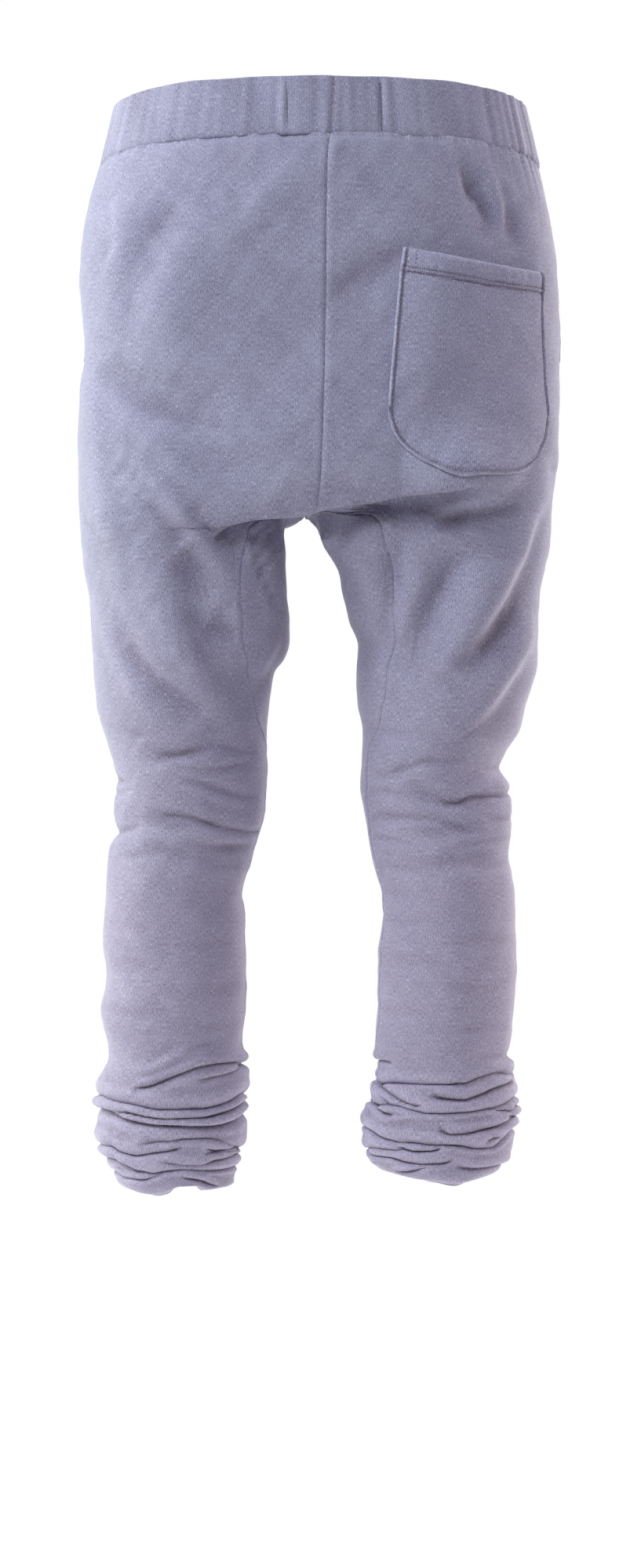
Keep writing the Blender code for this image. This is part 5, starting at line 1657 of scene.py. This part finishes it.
# %% [markdown]
# ## Shader maths as Python
# A material is a graph of nodes. Wiring it by hand hides its formula, so a small class wraps an output
# socket and turns arithmetic into Math nodes. Numbers alone are worked out in Python and cost no node.

# %% Sockets
def operator(operation, turned=False):
    """A method that adds one Math node; turned is for a number that stands before the socket."""
    def method(self, other):
        return self.math(operation, other, self) if turned else self.math(operation, self, other)
    return method


class Value:
    """One output socket of a material; arithmetic on it adds Math nodes to the same material."""

    def __init__(self, paint, socket):
        self.paint = paint
        self.socket = socket

    def math(self, operation, *values):
        return self.paint.node("ShaderNodeMath", {"operation": operation}, dict(enumerate(values)))

    __add__, __radd__ = operator("ADD"), operator("ADD", turned=True)
    __sub__, __rsub__ = operator("SUBTRACT"), operator("SUBTRACT", turned=True)
    __mul__, __rmul__ = operator("MULTIPLY"), operator("MULTIPLY", turned=True)
    __truediv__, __rtruediv__ = operator("DIVIDE"), operator("DIVIDE", turned=True)

    def sine(self):
        return self.math("SINE", self)

    def size(self):
        return self.math("ABSOLUTE", self)

    def between(self, low, high):
        """The value clipped to a range."""
        return self.math("MINIMUM", self.math("MAXIMUM", self, low), high)


print("sockets take part in + - * / on either side")

# %% Materials as graphs
class Paint:
    """The nodes of a material or of the world, with their main shader."""

    def __init__(self, owner):
        owner.use_nodes = True
        self.owner = owner
        self.tree = owner.node_tree
        self.shader = next(node for node in self.tree.nodes if node.type in ("BSDF_PRINCIPLED", "BACKGROUND"))

    def plug(self, socket, value):
        if isinstance(value, Value):
            self.tree.links.new(value.socket, socket)
        else:
            socket.default_value = value

    def node(self, kind, settings=None, sockets=None, out=0):
        """A node of that type: its settings first, then values or links for its sockets."""
        made = self.tree.nodes.new(kind)
        for key, setting in (settings or {}).items():
            if key == "stops":
                ramp = made.color_ramp.elements
                while len(ramp) < len(setting):
                    ramp.new(1.0)
                for element, (position, colour) in zip(ramp, setting):
                    element.position = position
                    element.color = colour
            else:
                setattr(made, key, setting)
        for key, value in (sockets or {}).items():
            self.plug(made.inputs[key], value)
        return Value(self, made.outputs[out])

    def mix(self, factor, first, second):
        """Colour between first and second."""
        return self.node("ShaderNodeMix", {"data_type": "RGBA"}, {0: factor, 6: first, 7: second}, 2)

    def scaled(self, vector, scale):
        return self.node("ShaderNodeVectorMath", {"operation": "MULTIPLY"}, {0: vector, 1: scale})

    def noise(self, vector, scale, detail=2.0):
        """Noise about a half; scale is per millimetre along each axis."""
        return self.node("ShaderNodeTexNoise", {"noise_dimensions": "3D"},
                         {"Vector": self.scaled(vector, scale), "Scale": 1.0, "Detail": detail})

    def set(self, **inputs):
        """Values or links for the main shader, by the names of its inputs."""
        for key, value in inputs.items():
            self.plug(self.shader.inputs[key.replace("_", " ")], value)


print("nodes are added by", Paint.node.__qualname__)

# %% [markdown]
# ## Heather fleece
# The yarn is spun from fibres dyed in several tones, so the cloth is never one colour. Close up it shows
# fine upright wales and V-shaped stitches; further off it is a grey lavender with darker and lighter
# flecks that run with the knit, and a few pale fibres that took no dye. The hollows are painted darker
# and warmer, as painted shade, and the raised places a little lighter, as painted light. An image could
# carry all this, but it would tile and blur; noise and sines in the knit's own millimetres do not.

# %% Fleece material
WALE = 1.27          # millimetres between two wales
COURSE = 0.92        # millimetres between two rows of stitches
FLEECE_TONES = {"dark": (0.122, 0.108, 0.178), "mid": (0.282, 0.262, 0.392), "light": (0.505, 0.490, 0.660),
                "warm": (0.305, 0.258, 0.352), "fibre": (0.760, 0.745, 0.800)}


def fleece(name, brightness=1.0):
    """Heather fleece knit; brightness scales its tones."""
    paint = Paint(bpy.data.materials.new(name))

    def tone(key, scale=1.0):
        return tuple(scale * (c * brightness) for c in FLEECE_TONES[key]) + (1,)

    grain = paint.scaled(paint.node("ShaderNodeUVMap", {"uv_map": "grain"}), (1000, 1000, 0))
    across = paint.node("ShaderNodeSeparateXYZ", None, {0: grain}, "X")
    along = paint.node("ShaderNodeSeparateXYZ", None, {0: grain}, "Y")
    hollow = paint.node("ShaderNodeAttribute", {"attribute_name": "hollow"}, out=2)
    low = paint.node("ShaderNodeAttribute", {"attribute_name": "low"}, out=2)

    drift = paint.noise(grain, (0.045, 0.03, 1)) - 0.5
    wale = (across + drift * 1.3) / WALE
    stitch_side = wale.math("PINGPONG", wale, 0.5)
    ribs = (wale * (2 * pi)).sine() * 0.5 + 0.5
    courses = ((along / COURSE + stitch_side * 1.3) * (2 * pi)).sine() * 0.5 + 0.5
    knit = ribs * 0.62 + courses * 0.38

    flecks = paint.noise(grain, (1.7, 0.42, 1), 1.0)
    grit = paint.noise(grain, (2.9, 2.1, 1), 1.0)
    cloud = paint.noise(grain, (0.09, 0.05, 1), 3.0)
    patches = paint.noise(grain, (0.021, 0.014, 1), 2.0)

    # the hollows are painted darker here, as painted shade, and raised places lighter, as painted light
    light = ((flecks - 0.5) * 1.5 + (grit - 0.5) * 2.2 + (cloud - 0.5) * 0.22 + (patches - 0.5) * 0.10
             + (knit - 0.5) * 0.34 - hollow * 0.30 + 0.5).between(0, 1)
    colour = paint.mix(light, tone("dark"), tone("light"))
    colour = paint.mix((0.45 - (light - 0.5).size() * 0.8).between(0, 1), colour, tone("mid"))
    # the painted shade of the hollows is also warmer, and the tone turns warmer lower on the leg
    warmth = (low * 0.55 + hollow.between(0, 1) * 0.35 + (patches - 0.5) * 0.4).between(0, 0.85)
    colour = paint.mix(warmth, colour, paint.mix(light, tone("warm", 0.55), tone("warm", 1.75)))
    nep_line = paint.noise(grain, (0.75, 0.62, 1), 1.0)
    nep_place = paint.noise(paint.scaled(grain, (1, 1, 0)), (0.33, 0.29, 1), 1.0)
    nep = ((0.018 - (nep_line - 0.5).size()) * 70).between(0, 1) * ((nep_place - 0.56) * 9).between(0, 1)
    colour = paint.mix(nep * 0.75, colour, tone("fibre"))

    ridges = knit * 0.55 + (flecks - 0.5) * 0.6 + (grit - 0.5) * 0.5
    bump = paint.node("ShaderNodeBump", None, {"Strength": 0.55, "Distance": 0.22 * MM, "Height": ridges})
    paint.set(Base_Color=colour, Roughness=0.93, Specular_IOR_Level=0.22, Sheen_Weight=0.55,
              Sheen_Roughness=0.32, Sheen_Tint=(0.86, 0.86, 0.95, 1), Normal=bump)
    return paint.owner


body_fleece = fleece("heather_fleece")
band_fleece = fleece("waistband_fleece", 0.98)
# the pocket pieces' copy of the fleece is painted 4 percent lighter, as painted light
pocket_fleece_painted_light = fleece("pocket_fleece_painted_light", 1.04)
for thing in panels.values():
    thing.data.materials.append(body_fleece)
band.data.materials.append(band_fleece)
for thing in (pocket, *mouths.values()):
    thing.data.materials.append(pocket_fleece_painted_light)
print("fleece has", len(body_fleece.node_tree.nodes), "nodes")

# %% Thread
thread = Paint(bpy.data.materials.new("thread"))
twist = thread.noise(thread.node("ShaderNodeTexCoord", out="Object"), (900, 900, 900), 1.0)
thread.set(Base_Color=thread.mix(twist, (0.10, 0.09, 0.13, 1), (0.22, 0.20, 0.27, 1)), Roughness=0.6)
stitches = {"pocket": [pocket_stitches, *mouth_stitches.values()], "waistband": [band_stitches]}
for slot, things in stitches.items():
    for thing in things:
        thing.data.materials.append(thread.owner)
        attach(thing, "root")
print("thread on", sum(len(things) for things in stitches.values()), "seams")

# %% [markdown]
# ## Pieces on their solids
# Every shell rides on the garment's one body and stands for the solid of the same piece, which is hidden.
# Each is cloth, and its cut size is listed with it: what was laid flat on the cutting table, before it was
# sewn and worn.

# %% Ride and replace
CUTS = {"back": ((0.30, 0.98), 0.176), "front": ((0.33, 0.98), 0.205)}


def hand_over(thing, node, slot, **cut):
    """The piece rides on the body and stands for its solid, which is hidden; slot and cut are not used."""
    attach(thing, "root")
    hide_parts(node)


for name, thing in panels.items():
    size, area = CUTS[name.split("_")[0]]
    hand_over(thing, name, "fleece", flat=size, held="hung", rests_on=["waistband"], area=area)
hand_over(band, "waistband", "waistband", flat=(0.90, 0.048), held="stretched", with_pieces=[band_stitches])
hand_over(pocket, "back_pocket", "pocket", flat=(0.15, 0.18), held="hung", rests_on=["back_right"],
          area=0.0235, with_pieces=[pocket_stitches])
for side, thing in mouths.items():
    hand_over(thing, "hip_pocket_" + side, "pocket", flat=(0.0165, 0.150), held="hung",
              rests_on=["front_" + side], with_pieces=[mouth_stitches[side]])

# %% [markdown]
# ## Floor, light and camera
# A plain pale floor under the garment and a white room round it. Eleven soft panels stand in a ring: the
# strongest are upper left behind the camera and at both sides, and the ones beside and beyond the garment
# graze its edges, which makes the bright rims of a studio picture. The camera looks at the garment's back
# from 2.6 m, level with the knees.

# %% Floor
FLOOR_Z = -1.112
FLOOR_RADIUS = 1.6


def add_floor():
    """A round floor that fades out towards its edge."""
    bpy.ops.mesh.primitive_circle_add(vertices=96, radius=FLOOR_RADIUS, fill_type="NGON",
                                      location=(0, 0, FLOOR_Z))
    floor = bpy.context.object
    floor.name = "floor"
    paint = Paint(bpy.data.materials.new("pale_floor"))
    place = paint.node("ShaderNodeTexCoord", out="Object")
    radius = paint.node("ShaderNodeVectorMath", {"operation": "LENGTH"}, {0: place}, "Value")
    fade = ((radius - 0.5 * FLOOR_RADIUS) / (0.5 * FLOOR_RADIUS)).between(0, 1)
    paint.set(Base_Color=(0.93, 0.93, 0.94, 1), Roughness=0.55)
    clear = paint.node("ShaderNodeBsdfTransparent")
    shader = Value(paint, paint.shader.outputs[0])
    mixed = paint.node("ShaderNodeMixShader", None, {0: fade, 1: shader, 2: clear})
    paint.plug(paint.tree.nodes["Material Output"].inputs["Surface"], mixed)
    floor.data.materials.append(paint.owner)
    floor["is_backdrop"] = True


add_floor()
print("the floor is", FLOOR_Z, "m below the waist")

# %% Room and lights
WHITE = (1.0, 1.0, 1.0, 1)
BEHIND = 0.80         # the lit white wall that the garment stands before
AROUND = 0.04         # what the rest of the room gives back
MIDDLE_Z = -0.40
LIGHT_WIDE = 0.8
LIGHT_TALL = 1.4      # the panels that stand beyond the garment are this tall
BEYOND_TURN = 115
# turn from straight behind towards the wearer's left, climb (degrees), power in watts and colour
LIGHTS = {"front": (14, 40, 23, (0.88, 0.93, 1.0)), "front_left": (40, 40, 8, (0.65, 0.85, 1.0)),
          "key": (64, 40, 31, (0.93, 1.0, 0.98)), "key_low": (64, 15, 13, (1.0, 1.0, 0.95)),
          "side": (104, 15, 31, (0.90, 1.0, 0.87)), "side_high": (104, 40, 20, (0.95, 1.0, 0.80)),
          "rim_left": (122, 16, 12, (0.95, 1.0, 0.9)), "right": (-100, 20, 31, (1.0, 0.95, 0.88)),
          "right_front": (-70, 20, 9, (1.0, 0.92, 0.92)), "rim_right": (-128, 16, 21, (0.97, 1.0, 0.88)),
          "rim_far": (-150, 16, 27, (1.0, 0.9, 0.9))}


def aim_angles(way):
    """Euler angles that turn -Z to a direction, with no roll."""
    flat = float(np.hypot(way[0], way[1]))
    return (float(np.arctan2(flat, -way[2])), 0.0, float(np.arctan2(way[1], way[0])) - pi / 2)


def add_light(name, place, aim, size, power, colour):
    """A rectangular soft light that faces a point."""
    data = bpy.data.lights.new(name, "AREA")
    data.shape = "RECTANGLE"
    data.size, data.size_y = size
    data.energy = power
    data.color = colour
    light = bpy.data.objects.new(name, data)
    light.location = place
    light.rotation_euler = aim_angles(np.array(aim) - np.array(place))
    bpy.context.scene.collection.objects.link(light)


def around_garment(turn, climb, distance=2.6):
    """A place at a turn from straight behind the garment and a climb, both in degrees."""
    turn, climb = radians(turn), radians(climb)
    return (distance * np.sin(turn) * np.cos(climb), distance * np.cos(turn) * np.cos(climb),
            MIDDLE_Z + distance * np.sin(climb))


def add_room():
    """A white room: seen as plain white, and lighting the garment mostly from its far wall."""
    room = Paint(bpy.data.worlds.new("white_room"))
    direction = room.node("ShaderNodeTexCoord", out="Generated")
    far = room.node("ShaderNodeSeparateXYZ", None, {0: direction}, "Y") * -1.0
    wall = room.node("ShaderNodeMapRange", {"interpolation_type": "SMOOTHSTEP"},
                     {"Value": far, "From Min": -0.2, "From Max": 0.9, "To Min": AROUND, "To Max": BEHIND})
    seen = room.node("ShaderNodeLightPath", out="Is Camera Ray")
    room.set(Color=room.mix(seen, wall, WHITE))
    bpy.context.scene.world = room.owner


add_room()
for name, (turn, climb, power, colour) in LIGHTS.items():
    size = (LIGHT_WIDE, LIGHT_TALL if abs(turn) > BEYOND_TURN else LIGHT_WIDE)
    add_light(name, around_garment(turn, climb), (0, 0, MIDDLE_Z), size, power, colour)
bpy.context.scene.view_settings.view_transform = "Standard"

# %% Camera
PICTURE = (803, 2000)         # width and height that the framing is worked out for
FOCAL = 4228                  # focal length, in the picture's pixels
CAMERA_DISTANCE = 2.6
CAMERA_Z = -0.541
LOOKS_AT = (408, 1050)        # where the camera's axis meets the picture
SENSOR_HEIGHT = 20

camera_data = bpy.data.cameras.new("camera")
camera_data.sensor_fit = "VERTICAL"
camera_data.sensor_height = SENSOR_HEIGHT
camera_data.lens = FOCAL / PICTURE[1] * SENSOR_HEIGHT
camera_data.shift_x = -(LOOKS_AT[0] - PICTURE[0] / 2) / PICTURE[1]
camera_data.shift_y = (LOOKS_AT[1] - PICTURE[1] / 2) / PICTURE[1]
camera = bpy.data.objects.new("camera", camera_data)
camera.location = (0, CAMERA_DISTANCE, CAMERA_Z)
camera.rotation_euler = (pi / 2, 0, pi)
bpy.context.scene.collection.objects.link(camera)
bpy.context.scene.camera = camera
print("lens", round(camera_data.lens, 2), "mm, shift", round(camera_data.shift_x, 5),
      round(camera_data.shift_y, 5))

# %% [markdown]
# ## Sizes
# The shells stand a little proud of their solids. The box round all that is shown is printed.

# %% Finish
low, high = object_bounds()
print("visual box", [round(v, 4) for v in low], [round(v, 4) for v in high])
